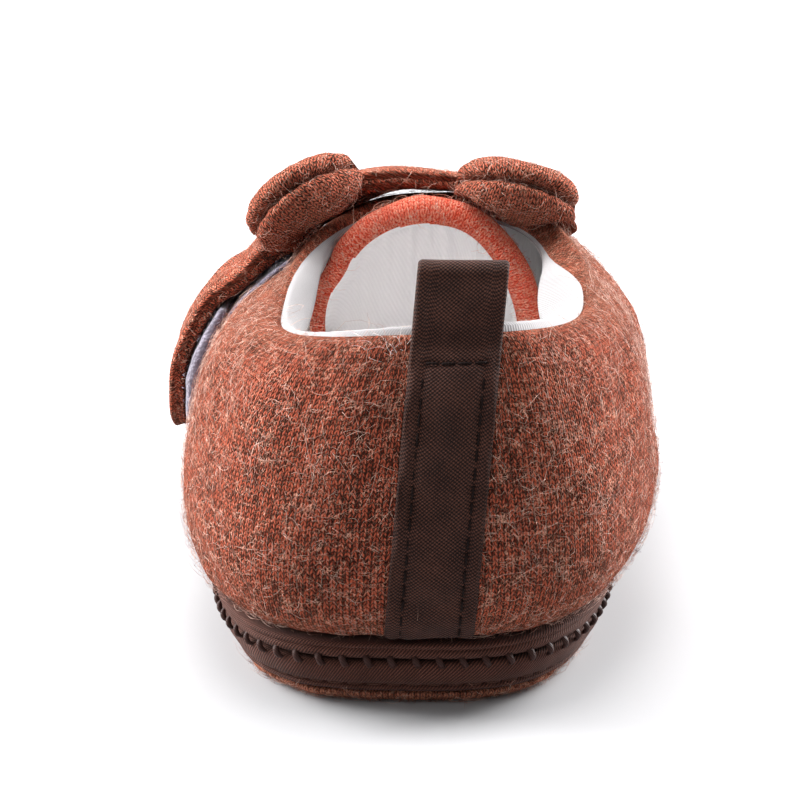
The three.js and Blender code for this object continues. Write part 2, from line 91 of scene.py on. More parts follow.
lens_pixels, photo_pixels = 3400, 800
rise, turn_round, reach = math.radians(17), math.radians(2), 0.490
aim = Vector((0.0034, 0.00074, 0.028))
away = Vector((math.sin(turn_round) * math.cos(rise), -math.cos(turn_round) * math.cos(rise), math.sin(rise)))
bpy.ops.object.camera_add(location=aim + away * reach)
camera = bpy.context.active_object
camera.rotation_euler = (-away).to_track_quat("-Z", "Y").to_euler()
camera.data.sensor_width = 36
camera.data.lens = 36 * lens_pixels / photo_pixels
camera.data.shift_x = -29.8 / photo_pixels
camera.data.shift_y = -22.4 / photo_pixels
camera.data.clip_start, camera.data.clip_end = 0.01, 20
bpy.context.scene.camera = camera


# Upper: heather-brown knit over foam, with a white jersey lining that rolls out over the collar.
# One padded wall, laid over rings round the foot from the sole's seam up to the collar, stuffed
# soft and stitched down under the heel tape.
shoe_length, heel_width, ball_width = 124, 66.4, 66.5
heel_height, side_height, instep_height, seam_height = 50.4, 46.2, 52.4, 10.1
collar_lean, collar_tilt, inflare, toe_spring, spring_start = 2.8, 1.0, 3.0, 4.0, 20.0
sole_length, wall, roll_sides, roll_ends, roll_lean = 116.5, 3.4, 5.0, 3.4, 0.8
collar_rings = np.array([
    # back, front, heel, ball, lean, turn in, heel rise, side rise, front rise
    (-0.915, 0.93, 0.825, 0.86, -0.5, 1, 0, 0, 0),
    (-0.972, 0.98, 0.945, 0.955, -0.33, 0.91, 0.09, 0.095, 0.085),
    (-1, 1, 1, 1, -0.24, 0.72, 0.28, 0.27, 0.255),
    (-0.992, 0.95, 0.972, 0.95, -0.15, 0.48, 0.52, 0.54, 0.5),
    (-0.965, 0.79, 0.905, 0.79, -0.05, 0.27, 0.73, 0.78, 0.7),
    (-0.93, 0.5, 0.8, 0.62, 0.18, 0, 0.89, 0.93, 0.87),
    (-0.882, 0.18, 0.625, 0.63, 0.48, -0.35, 1, 1, 1),
])


def mix(a, b, k):
    return a + (b - a) * k


def ease(k):
    """A step from 0 to 1 without corners."""
    k = np.clip(k, 0, 1)
    return k * k * (3 - 2 * k)


def swell(k, centre, spread):
    """A soft bump that is 1 at its centre."""
    return np.exp(-(((k - centre) / spread) ** 2))


def spring_at(y):
    """The sole's lift toward the toe."""
    return toe_spring * np.clip((y - spring_start) / (sole_length / 2 - spring_start), 0, None) ** 2


def outline(turn, back, front, heel_half, ball_half, heel_power, toe_power, hollow, lean, flare):
    """A foot's outline: x, y, and how far forward each turn lies, from -1 at the heel to 1 at the toe."""
    c, s = -np.cos(turn), -np.sin(turn)
    power = 2 / np.where(c < 0, heel_power, toe_power)
    along = np.sign(c) * np.abs(c) ** power
    across = np.sign(s) * np.abs(s) ** power
    half = mix(heel_half, ball_half, ease((along + 0.5) / 1.1))
    waist = np.where(across > 0, 1, 0.35) * hollow * swell(along, 0.02, 0.3)
    x = across * (half - waist) + lean + flare * np.clip(along, 0, None) ** 2
    return x, mix(back, front, (along + 1) / 2), along


def collar_ring(row, turn):
    """One ring of the upper's outer face, from its row in the table of shares."""
    back, front, heel, ball, lean, turn_in, heel_rise, side_rise, front_rise = collar_rings[row]
    x, y, along = outline(
        turn, back * shoe_length / 2, front * shoe_length / 2, heel * heel_width / 2, ball * ball_width / 2,
        mix(3.2, 2.7, heel_rise), 2.5, 1.6 * (1 - heel_rise), lean * collar_lean, turn_in * inflare)
    side_z = mix(seam_height, side_height, side_rise)
    heel_z, front_z = mix(seam_height, heel_height, heel_rise), mix(seam_height, instep_height, front_rise)
    z = side_z + (heel_z - side_z) * (np.clip(-along - 0.1, 0, None) / 0.9) ** 1.6
    z = z + (front_z - side_z) * (np.clip(along + 0.15, 0, None) / 1.15) ** 1.7
    z = z + spring_at(y) * (1 - ease(front_rise / 0.7)) - collar_tilt * side_rise**3 * np.sin(turn)
    return np.stack([x, y, z], -1)


def distance_along(path):
    return np.concatenate([[0], np.cumsum(np.linalg.norm(np.diff(path, axis=0), axis=1))])


def even_turns(count):
    """Turns round the upper that are evenly spaced along its widest ring."""
    fine = np.linspace(0, 2 * np.pi, 4001)
    ring = collar_ring(2, fine)
    length = distance_along(ring)
    return np.interp(np.linspace(0, length[-1], count + 1), length, fine)


def through(points, share):
    """A smooth curve through a short table of points."""
    ends = np.concatenate([[2 * points[0] - points[1]], points, [2 * points[-1] - points[-2]]])
    at = share * (len(points) - 1)
    k = np.minimum(len(points) - 2, np.floor(at)).astype(int)
    f = (at - k).reshape(-1, *([1] * (points.ndim - 1)))
    a, b, c, d = ends[k], ends[k + 1], ends[k + 2], ends[k + 3]
    return 0.5 * (2 * b + (c - a) * f + (2 * a - 5 * b + 4 * c - d) * f**2 + (3 * b - a - 3 * c + d) * f**3)


def upper_face(turn, level):
    """The upper's outer face, as rows of points from the sole's seam at level 0 to the collar at 1."""
    rings = np.stack([collar_ring(row, turn) for row in range(len(collar_rings))])
    return through(rings, np.clip(level, 0, 1))


def unit(v):
    return v / np.maximum(np.linalg.norm(v, axis=-1, keepdims=True), 1e-12)


def upper_directions(turn, level):
    """The way the upper's face looks, and the way up along it."""
    small = 0.004
    low, high = np.clip(level - small, 0, 1), np.clip(level + small, 0, 1)
    around = upper_face(turn - small, level) - upper_face(turn + small, level)
    up = upper_face(turn, high) - upper_face(turn, low)
    normal = unit(np.cross(around, up))
    return normal, unit(up)


def along_collar(turn):
    """How far forward a turn lies on the collar, from -1 at the heel to 1 in front."""
    return outline(turn, -1, 1, 1, 1, 2.7, 2.5, 0, 0, 0)[2]


def roll_at(turn):
    """How thick the collar's roll is at a turn."""
    return mix(roll_ends, roll_sides - roll_lean * np.sin(turn), swell(along_collar(turn), -0.35, 0.55))


def soft_noise(points, size, seed):
    """Smooth, repeatable unevenness between about -1 and 1, in lumps of the given size."""
    rng = np.random.default_rng(seed)
    total = np.zeros(points.shape[:-1])
    for _ in range(7):
        direction = unit(rng.normal(size=3)) * (2 * np.pi / (size * rng.uniform(0.8, 1.9)))
        total += np.sin(points @ direction + rng.uniform(0, 6.28))
    return total / 3.2


def place_in_frame(points):
    return (points + frame_middle) * 0.001


def lay_cloth(name, grid, uv, materials, slot_at=None):
    """A grid primitive shaped row by row into a piece of cloth; doubled points are then merged."""
    rows, columns = grid.shape[:2]
    bpy.ops.object.select_all(action="DESELECT")
    bpy.ops.mesh.primitive_grid_add(
        x_subdivisions=columns - 1, y_subdivisions=rows - 1, size=1, calc_uvs=True)
    cloth = bpy.context.active_object
    cloth.name = cloth.data.name = name
    cloth.data.vertices.foreach_set("co", place_in_frame(grid).astype(np.float32).ravel())
    corners = np.empty(len(cloth.data.loops), np.int32)
    cloth.data.loops.foreach_get("vertex_index", corners)
    cloth.data.uv_layers[0].name = "cloth"
    corner_uv = uv.reshape(-1, 2)[corners] / 100
    cloth.data.uv_layers[0].data.foreach_set("uv", corner_uv.astype(np.float32).ravel())
    for material in materials:
        cloth.data.materials.append(material)
    if slot_at is not None:
        cloth.data.polygons.foreach_set("material_index", np.asarray(slot_at, np.int32).ravel())
    bpy.ops.object.mode_set(mode="EDIT")
    bpy.ops.mesh.select_all(action="SELECT")
    bpy.ops.mesh.remove_doubles(threshold=2e-6)
    bpy.ops.mesh.normals_make_consistent(inside=False)
    bpy.ops.object.mode_set(mode="OBJECT")
    bpy.ops.object.shade_smooth()
    return cloth


def path_lengths(rings, axis):
    """Distances along every ring, or from ring to ring."""
    steps = np.linalg.norm(np.diff(rings, axis=axis), axis=2)
    start = np.zeros_like(steps.take([0], axis))
    return np.concatenate([start, np.cumsum(steps, axis)], axis)


def even_uv(rings, reference=None, repeat=1.1):
    """Distances round and along a set of rings, in millimetres. With a reference ring, the threads
    run straight up from it, a whole number of repeats round it."""
    round_way = path_lengths(rings, 1)
    if reference is not None:
        one = path_lengths(reference[None], 1)
        round_way = np.broadcast_to(one * round(one[0, -1] / repeat) * repeat / one[0, -1], round_way.shape)
    return np.stack([round_way, path_lengths(rings, 0)], -1)


def strand(tree, kind, **settings):
    """A new node of a cloth's material."""
    node = tree.nodes.new("ShaderNode" + kind)
    for key, value in settings.items():
        setattr(node, key, value)
    return node


def sum_of(tree, operation, a, b=None, c=None):
    node = strand(tree, "Math", operation=operation)
    for socket, value in zip(node.inputs, (a, b, c)):
        if value is None:
            continue
        if isinstance(value, (int, float)):
            socket.default_value = value
        else:
            tree.links.new(value, socket)
    return node.outputs[0]


def cloth_millimetres(tree):
    """The place on the cloth in millimetres. Its UV layer holds a hundredth of them."""
    uv = strand(tree, "UVMap", uv_map="cloth")
    grow = strand(tree, "VectorMath", operation="SCALE")
    grow.inputs["Scale"].default_value = 100
    tree.links.new(uv.outputs[0], grow.inputs[0])
    return grow.outputs[0]


def blotches(tree, vector, scale, detail=2.0, roughness=0.5, output="Fac"):
    noise = strand(tree, "TexNoise")
    set_inputs(noise, {"Scale": scale, "Detail": detail, "Roughness": roughness})
    tree.links.new(vector, noise.inputs["Vector"])
    return noise.outputs[output]


def held(tree, value, most):
    """A value kept between nothing and the most."""
    return sum_of(tree, "MINIMUM", sum_of(tree, "MAXIMUM", value, 0.0), most)


def raise_surface(tree, shader, height, strength, distance, **settings):
    """Lets a field of heights stand out of the surface, by a distance in metres."""
    bump = strand(tree, "Bump", **settings)
    set_inputs(bump, {"Strength": strength, "Distance": distance})
    tree.links.new(height, bump.inputs["Height"])
    tree.links.new(bump.outputs[0], shader.inputs["Normal"])


def colour_steps(tree, factor, steps):
    ramp = strand(tree, "ValToRGB")
    for element, (place, colour) in zip(ramp.color_ramp.elements, (steps[0], steps[-1])):
        element.position, element.color = place, (*colour, 1)
    for place, colour in steps[1:-1]:
        ramp.color_ramp.elements.new(place).color = (*colour, 1)
    tree.links.new(factor, ramp.inputs[0])
    return ramp.outputs[0]


def blend_colours(tree, factor, a, b):
    node = strand(tree, "Mix", data_type="RGBA")
    for socket, value in ((node.inputs[0], factor), (node.inputs[6], a), (node.inputs[7], b)):
        if isinstance(value, (int, float)):
            socket.default_value = value
        elif isinstance(value, tuple):
            socket.default_value = (*value, 1)
        else:
            tree.links.new(value, socket)
    return node.outputs[2]


def heather_knit(name, dark, middle, light, fibre, wale=0.82, course=0.64, sheen=0.26, stitch_share=0.5,
                 tint=(0.92, 0.47, 0.30)):
    """Jersey knit in a mottled yarn: rows of V-shaped stitches, with painted shade between them and a painted
    highlight on each leg, and pale fibres.
    """
    material, tree, shader = new_material(name)
    flat = cloth_millimetres(tree)
    shift = strand(tree, "VectorMath", operation="MULTIPLY_ADD")
    tree.links.new(blotches(tree, flat, 0.45, output="Color"), shift.inputs[0])
    shift.inputs[1].default_value = (0.35, 0.8, 0)
    tree.links.new(flat, shift.inputs[2])
    parts = strand(tree, "SeparateXYZ")
    tree.links.new(shift.outputs[0], parts.inputs[0])
    across = sum_of(tree, "DIVIDE", parts.outputs[0], wale)
    along = sum_of(tree, "DIVIDE", parts.outputs[1], course)
    off_middle = sum_of(tree, "SUBTRACT", sum_of(tree, "FRACT", across), 0.5)
    from_middle = sum_of(tree, "MULTIPLY", sum_of(tree, "ABSOLUTE", off_middle), 2.0)
    slant = sum_of(tree, "ADD", along, sum_of(tree, "MULTIPLY", from_middle, 0.85))
    leg = sum_of(tree, "SUBTRACT", sum_of(tree, "MULTIPLY", sum_of(tree, "FRACT", slant), 2.0), 1.0)
    leg = sum_of(tree, "SUBTRACT", 1.0, sum_of(tree, "MULTIPLY", leg, leg))
    side = sum_of(tree, "SUBTRACT", sum_of(tree, "MULTIPLY", from_middle, 2.0), 1.0)
    side = sum_of(tree, "SUBTRACT", 1.0, sum_of(tree, "POWER", sum_of(tree, "ABSOLUTE", side), 3.0))
    stitch = sum_of(tree, "POWER", sum_of(tree, "MAXIMUM", sum_of(tree, "MULTIPLY", leg, side), 0.0), 0.6)

    # The yarn changes from stitch to stitch, in two legs a column.
    column = sum_of(tree, "FLOOR", sum_of(tree, "MULTIPLY", across, 2.0))
    cell = strand(tree, "CombineXYZ")
    tree.links.new(column, cell.inputs[0])
    tree.links.new(sum_of(tree, "FLOOR", slant), cell.inputs[1])
    yarn = strand(tree, "TexWhiteNoise", noise_dimensions="2D")
    tree.links.new(cell.outputs[0], yarn.inputs["Vector"])
    fine = blotches(tree, flat, 2.3, 4.0, 0.7)
    broad = blotches(tree, flat, 0.12, 3.0)

    # Its fibres run along each leg.
    combed = strand(tree, "CombineXYZ")
    in_leg = sum_of(tree, "MULTIPLY", from_middle, 5.0)
    tree.links.new(sum_of(tree, "MULTIPLY_ADD", column, 17.3, in_leg), combed.inputs[0])
    tree.links.new(sum_of(tree, "MULTIPLY", slant, 1.3), combed.inputs[1])
    fibres = blotches(tree, combed.outputs[0], 1.0, 2.0, 0.6)

    # The colour follows the stitches' height and darkens towards each column's edge: painted shade in the
    # gaps, painted highlight on the legs. The yarn and broad terms are the yarn's own mottle; the fine term
    # also raises the surface, so it is both mottle and painted shade.
    tone = sum_of(tree, "MULTIPLY_ADD", stitch, stitch_share, -0.46 - 0.63 * stitch_share)
    for field, share in (
            (sum_of(tree, "POWER", from_middle, 4.0), -0.36), (fibres, 0.5), (yarn.outputs["Value"], 0.34),
            (fine, 0.86), (broad, 0.3)):
        tone = sum_of(tree, "MULTIPLY_ADD", field, share, tone)
    colour = colour_steps(tree, tone, ((0.28, dark), (0.48, middle), (0.7, light)))

    # Pale specks, and three layers of fine pale lines where loose fibres lie on the knit.
    specks = sum_of(tree, "SUBTRACT", blotches(tree, shift.outputs[0], 3.2, 5.0, 0.75), 0.6)
    colour = blend_colours(tree, held(tree, sum_of(tree, "MULTIPLY", specks, 9.0), 0.7), colour, fibre)
    for scale, drift in ((0.75, (3.1, 8.4, 0)), (1.05, (41.0, 17.0, 0)), (0.6, (70.0, 29.0, 0))):
        moved = strand(tree, "VectorMath", operation="ADD")
        tree.links.new(flat, moved.inputs[0])
        moved.inputs[1].default_value = drift
        field = blotches(tree, moved.outputs[0], scale, 2.0, 0.45)
        line = sum_of(tree, "ABSOLUTE", sum_of(tree, "SUBTRACT", field, 0.5))
        line = sum_of(tree, "MULTIPLY_ADD", line, -70.0, 1.0)
        gaps = sum_of(tree, "MULTIPLY_ADD", blotches(tree, moved.outputs[0], 0.42, 1.0), 9.0, -4.6)
        colour = blend_colours(tree, held(tree, line, held(tree, gaps, 0.75)), colour, fibre)
    tree.links.new(colour, shader.inputs["Base Color"])

    raise_surface(tree, shader, sum_of(tree, "MULTIPLY_ADD", fine, 0.8, stitch), 1.0, 0.0004)
    set_inputs(shader, {
        "Roughness": 0.95, "Specular IOR Level": 0.04, "Sheen Weight": sheen, "Sheen Roughness": 0.4,
        "Sheen Tint": (*tint, 1)})
    return material


def ribbed_jersey(name, white, shade):
    """Thin lining jersey: fine ribs, almost smooth."""
    material, tree, shader = new_material(name)
    flat = cloth_millimetres(tree)
    parts = strand(tree, "SeparateXYZ")
    tree.links.new(flat, parts.inputs[0])
    lean = sum_of(tree, "MULTIPLY_ADD", parts.outputs[1], 0.35, parts.outputs[0])
    rib = sum_of(tree, "SINE", sum_of(tree, "MULTIPLY", lean, 2 * math.pi / 0.62))
    fine = blotches(tree, flat, 3.0, 3.0, 0.6)
    relief = sum_of(tree, "MULTIPLY_ADD", fine, 1.6, rib)
    # The colour follows the ribs' and fine bumps' height: painted shade in the hollows, white on the tops.
    tone = sum_of(tree, "MULTIPLY_ADD", relief, 0.12, 0.5)
    tree.links.new(colour_steps(tree, tone, ((0.3, shade), (0.7, white))), shader.inputs["Base Color"])
    raise_surface(tree, shader, relief, 0.45, 0.00005)
    set_inputs(shader, {"Roughness": 0.75, "Sheen Weight": 0.2})
    return material


brown_knit = heather_knit(
    "brown_knit", (0.005, 0.0007, 0.0006), (0.066, 0.0060, 0.0038), (0.47, 0.094, 0.050), (0.78, 0.40, 0.28))
# Collar roll: the lining's white jersey made much darker, as painted shade for the brightly lit roll.
roll_jersey_painted_shade = ribbed_jersey("roll_jersey_painted_shade", (0.29, 0.276, 0.280), (0.12, 0.112, 0.115))
white_jersey = ribbed_jersey("white_jersey", (0.87, 0.852, 0.852), (0.82, 0.80, 0.80))

columns, outer_rows, roll_rows, inner_rows = 300, 70, 14, 26
turns = even_turns(columns)
levels = np.linspace(0, 1, outer_rows)
outer = upper_face(turns, levels)
normal, up = upper_directions(turns, levels)
span = outer.reshape(-1, 3)
upper_low, upper_high = (np.array(corner) * 1000 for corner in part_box("upper"))
frame_middle = np.array([
    (upper_low[0] + upper_high[0] - span[:, 0].min() - span[:, 0].max()) / 2,
    (upper_low[1] + upper_high[1] - span[:, 1].min() - span[:, 1].max()) / 2, 0])

# The foam behind the knit is a little uneven, dips at the sole's seam and along the collar, and is
# pinched where the heel tape is sewn down.
tape_line = mix(1.9, 6.2, (outer[..., 2] - 11.5) / 48.3)
tape_pinch = swell(outer[..., 0], tape_line, 7.5) * (outer[..., 1] < -40)
dent = 0.30 * soft_noise(outer, 22, 3) + 0.12 * soft_noise(outer, 7, 4)
dent = dent * ease(levels / 0.15)[:, None] * ease((1 - levels) / 0.12)[:, None]
dent = dent - 0.3 * tape_pinch * (levels < 0.97)[:, None] - 0.45 * swell(levels, 0.0, 0.012)[:, None]
dent = dent + 0.35 * swell(levels, 0.94, 0.05)[:, None] - 0.25 * swell(levels, 1.0, 0.012)[:, None]
girth = path_lengths(outer[40:41], 1)[0]
girth = np.where(girth > girth[-1] / 2, girth - girth[-1], girth)
height_up = path_lengths(outer, 0)
# Creases, listed one by one: distance round from the heel's middle (+ outer side), height, half-length,
# slant from level in degrees, width and depth.
for round_at, up_at, reach, slant, width, depth in (
        (15, 36, 11, 80, 2.6, 0.42), (-13, 33, 12, 97, 2.8, 0.36), (40, 35, 13, 35, 3.2, 0.42),
        (-44, 34, 12, 148, 3.2, 0.40), (62, 24, 15, 20, 3.6, 0.34), (-66, 22, 14, 160, 3.6, 0.34),
        (90, 20, 16, 60, 4.0, 0.40), (-92, 18, 15, 118, 4.0, 0.38), (118, 14, 15, 25, 3.4, 0.36),
        (-120, 13, 15, 152, 3.4, 0.36), (28, 8, 9, 12, 2.2, 0.3), (-30, 8, 9, 168, 2.2, 0.3)):
    way = math.radians(slant)
    across_crease = (girth - round_at) * -math.sin(way) + (height_up - up_at) * math.cos(way)
    along_crease = (girth - round_at) * math.cos(way) + (height_up - up_at) * math.sin(way)
    fold = swell(across_crease, 0, width) - 0.45 * swell(across_crease, width * 1.7, width)
    dent = dent - depth * swell(along_crease, 0, reach) * fold
dent = dent + 0.10 * np.sin(girth * 2 * np.pi / 6.3) * swell(levels, 0.03, 0.035)[:, None]
knit_face = outer + normal * dent[..., None]
knit_face[..., 2] -= 0.25 * swell(levels, 0.0, 0.08)[:, None]

# Collar: at the heel the roll is all jersey. Toward the front the knit goes on over it, farthest on
# the inner side, and meets the jersey in a groove. The roll is crimped, and fuller beside the heel.
edge, edge_normal, edge_up = outer[-1], normal[-1], up[-1]
plump = mix(1.0, 1.12, swell(along_collar(turns), -0.3, 0.5))
radius = (roll_at(turns) / 2)[:, None]
knit_rows = 5
inner_side = ease((edge[:, 0] - 4) / 6)
front_share = mix(ease((edge[:, 1] + 24) / 34), ease((edge[:, 1] + 25) / 25), inner_side)
knit_to = mix(0.1, mix(1.75, 2.7, inner_side), front_share)
step_on = np.arange(roll_rows)[:, None]
past_knit = knit_to + (np.pi - knit_to) * (step_on - knit_rows) / (roll_rows - 1 - knit_rows)
swings = np.where(step_on <= knit_rows, knit_to * step_on / knit_rows, past_knit)[..., None]
crimp = 1 + 0.02 * np.sin(turns * 46)[None, :, None] * np.sin(swings)
crimp = crimp - 0.2 * swell(swings, knit_to[None, :, None], 0.24)
roll = edge - edge_normal * radius + radius * crimp * (
    np.cos(swings) * edge_normal + np.sin(swings) * edge_up * plump[:, None])
fullness = mix(
    1.5 * swell(edge[:, 1], -24, 17), 2.6 * swell(edge[:, 1], -20, 17), ease((edge[:, 0] + 5) / 10))

# Lining: the jersey on the wall's inner side, a little uneven over the foam.
inner_levels = np.linspace(1, 0, inner_rows)
inner_outer = upper_face(turns, inner_levels)
inner_normal = upper_directions(turns, inner_levels)[0]
flat_normal = unit(inner_normal * np.array([1, 1, 0]))
direction = unit(mix(flat_normal, inner_normal, ease(inner_levels / 0.16)[:, None, None]))
thickness = mix(wall, roll_at(turns)[None, :], ease((inner_levels - 0.72) / 0.28)[:, None])
calm_ends = (ease(inner_levels / 0.2) * ease((1 - inner_levels) / 0.2))[:, None]
inner_noise = 0.25 * soft_noise(inner_outer, 14, 8) * calm_ends
lining_face = inner_outer - direction * (thickness + inner_noise)[..., None]

rings = np.concatenate([knit_face, roll, lining_face[1:], knit_face[:1]])
upper_slots = np.ones((len(rings) - 1, columns), int)
upper_slots[outer_rows + knit_rows:outer_rows + roll_rows] = 2
upper_slots[:outer_rows + knit_rows] = upper_slots[-1] = 0
full_roll = roll - edge_normal * fullness[:, None] * (1 - np.cos(swings)) / 2
full_lining = lining_face - direction * fullness[:, None] * ease((inner_levels - 0.82) / 0.18)[:, None, None]
full_rings = np.concatenate([knit_face, full_roll, full_lining[1:], knit_face[:1]])
upper_cloths = [brown_knit, white_jersey, roll_jersey_painted_shade]
upper_body = lay_cloth("padded_upper", full_rings, even_uv(full_rings, outer[40]), upper_cloths, upper_slots)
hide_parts("upper")
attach(upper_body, "root")

# Loose fibres: pale curly hairs that have worked out of the yarn and lie on it, and a short fuzz
# that stands off it. Each is a thin three-sided tube, and none goes into the floor.
above_floor = 0.04


def fibre_yarn(name, root, tip):
    material, tree, shader = new_material(name)
    where = strand(tree, "TexCoord")
    spread = blotches(tree, where.outputs["Object"], 900.0, 1.0)
    tree.links.new(colour_steps(tree, spread, ((0.35, root), (0.65, tip))), shader.inputs["Base Color"])
    set_inputs(shader, {"Roughness": 0.6, "Specular IOR Level": 0.3})
    return material


def spin_fibres(name, paths, thick, material):
    """Joins thin tubes along the given paths, an array of fibres by points by place, in millimetres."""
    count, steps = paths.shape[:2]
    along = unit(np.gradient(paths, axis=1))
    side = unit(np.cross(along, np.array([0.31, 0.17, 0.93])))
    other = np.cross(along, side)
    taper = thick[:, None] * np.linspace(1.0, 0.45, steps)[None, :]
    paths = paths.copy()
    paths[..., 2] = np.maximum(paths[..., 2], above_floor)
    points = np.stack([
        paths + taper[..., None] * (math.cos(a) * side + math.sin(a) * other)
        for a in (0, 2.0944, 4.18879)], 2)
    start = (np.arange(count)[:, None, None] * steps + np.arange(steps - 1)[None, :, None]) * 3
    spot = np.arange(3)[None, None, :]
    after = (spot + 1) % 3
    faces = np.stack([start + spot, start + after, start + 3 + after, start + 3 + spot], -1).reshape(-1, 4)
    ends = np.arange(count)[:, None] * steps * 3
    caps = np.concatenate([ends + np.array([2, 1, 0]), ends + (steps - 1) * 3 + np.array([0, 1, 2])])
    mesh = bpy.data.meshes.new(name)
    mesh.vertices.add(count * steps * 3)
    mesh.vertices.foreach_set("co", place_in_frame(points).astype(np.float32).ravel())
    mesh.loops.add(faces.size + caps.size)
    mesh.loops.foreach_set("vertex_index", np.concatenate([faces.ravel(), caps.ravel()]).astype(np.int32))
    mesh.polygons.add(len(faces) + len(caps))
    begin = np.concatenate([np.arange(len(faces)) * 4, faces.size + np.arange(len(caps)) * 3])
    mesh.polygons.foreach_set("loop_start", begin.astype(np.int32))
    mesh.update(calc_edges=True)
    mesh.validate()
    mesh.materials.append(material)
    fibres = bpy.data.objects.new(name, mesh)
    bpy.context.scene.collection.objects.link(fibres)
    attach(fibres, "root")
    return fibres


def scatter_on(points, normals, count, rng, weight=None):
    """Random places over a grid of points, evenly by area."""
    a, b, c = points[:-1, :-1], points[1:, :-1], points[:-1, 1:]
    area = np.linalg.norm(np.cross(b - a, c - a), axis=-1)
    if weight is not None:
        area = area * weight[:-1, :-1]
    pick = rng.choice(area.size, count, p=(area / area.sum()).ravel())
    r, k = np.unravel_index(pick, area.shape)
    s, t = rng.random((2, count, 1))
    spot = points[r, k] + (points[r + 1, k] - points[r, k]) * s + (points[r, k + 1] - points[r, k]) * t
    facing = unit(normals[r, k])
    rightward = unit(points[r, k + 1] - points[r, k])
    return spot, facing, rightward


def curly_paths(spot, facing, rightward, length, lift, steps, curl, rng, bend=30.0):
    """Paths that wander over the surface, rise a little off it and follow its bulge."""
    count = len(spot)
    forward = np.cross(facing, rightward)
    heading = rng.uniform(0, 2 * np.pi, count)
    drift = rng.normal(0, curl, count)
    x, y = np.zeros(count), np.zeros(count)
    paths = np.empty((count, steps, 3))
    for k in range(steps):
        arch = np.sin(np.pi * min(k / (steps - 1) * 0.85 + 0.08, 1))
        height = lift * (0.15 + arch * 0.85) - (x * x + y * y) / (2 * bend)
        paths[:, k] = spot + rightward * x[:, None] + forward * y[:, None] + facing * height[:, None]
        heading = heading + drift + rng.normal(0, curl * 0.7, count)
        x = x + np.cos(heading) * length / (steps - 1)
        y = y + np.sin(heading) * length / (steps - 1)
    return paths


def standing_paths(spot, facing, length, steps, rng, sink=0.15):
    """Short hairs that stand off the surface and bend over at random."""
    count = len(spot)
    way = unit(facing + rng.normal(0, 0.55, (count, 3)))
    turn = rng.normal(0, 0.5, (count, 3))
    paths = np.empty((count, steps, 3))
    here = spot - facing * sink
    for k in range(steps):
        paths[:, k] = here
        here = here + way * (length / (steps - 1))[:, None]
        way = unit(way + turn)
    return paths


pale_fibre = fibre_yarn("pale_fibre", (0.26, 0.09, 0.06), (0.74, 0.50, 0.40))
brown_fuzz = fibre_yarn("brown_fuzz", (0.06, 0.014, 0.009), (0.40, 0.15, 0.10))
rng = np.random.default_rng(11)
knit_normal = normal
heel_share = ease((20 - knit_face[..., 1]) / 30)
for part, weight, curls, stands in (("heel", heel_share, 3200, 4400), ("toe", 1 - heel_share, 2200, 3400)):
    spot, facing, rightward = scatter_on(knit_face, knit_normal, curls, rng, weight)
    length, lift = rng.gamma(3.0, 1.0, curls) + 0.9, rng.uniform(0.15, 0.8, curls)
    long_ones = curly_paths(spot, facing, rightward, length, lift, 6, 0.6, rng)
    fibres = spin_fibres(part + "_fibres", long_ones, rng.uniform(0.017, 0.032, curls), pale_fibre)
    spot, facing, rightward = scatter_on(knit_face, knit_normal, stands, rng, weight)
    short_ones = standing_paths(spot, facing, rng.uniform(0.5, 1.5, stands), 4, rng)
    fuzz = spin_fibres(part + "_fuzz", short_ones, rng.uniform(0.016, 0.028, stands), brown_fuzz)


# Sole: a folded welt strip, a band of twill-covered board and a knit pad that meets the floor.
# The welt is whip-stitched to the band by hand; the pad is glued up into the band's seam.
sole_heel_width, sole_ball_width, sole_flare = 56, 59, 3.2
pad_thickness, band_height, welt_height, welt_width = 1.9, 4.9, 2.4, 5.2
band_base = pad_thickness + 0.3
band_top = band_base + band_height
welt_base = band_top + 0.3
sole_top = welt_base + welt_height
sole_columns = 480
sole_turns = even_turns(sole_columns)
sole_turns = (sole_turns + 2 * np.pi - sole_turns[::-1]) / 2


def sole_ring(z, step, turn=sole_turns):
    """The sole's outline at a height, stepped in or out a little."""
    tuck = sole_flare * (1 - z / sole_top) ** 1.5 - step
    x, y, _ = outline(
        turn, -sole_length / 2 + tuck, sole_length / 2 - tuck, sole_heel_width / 2 - tuck,
        sole_ball_width / 2 - tuck, 3.3, 2.5, 1.9, collar_rings[0][4] * collar_lean, inflare)
    return np.stack([x, y, z + spring_at(y)], -1)


def drawn_in(ring, share):
    """A ring drawn in towards its own spine, to close a flat face."""
    middle = (ring + ring[::-1]) / 2
    spine_y = np.clip(middle[:, 1], -34, 34)
    spine = np.stack([middle[:, 0], spine_y, middle[:, 2]], -1)
    return mix(ring, spine, share)


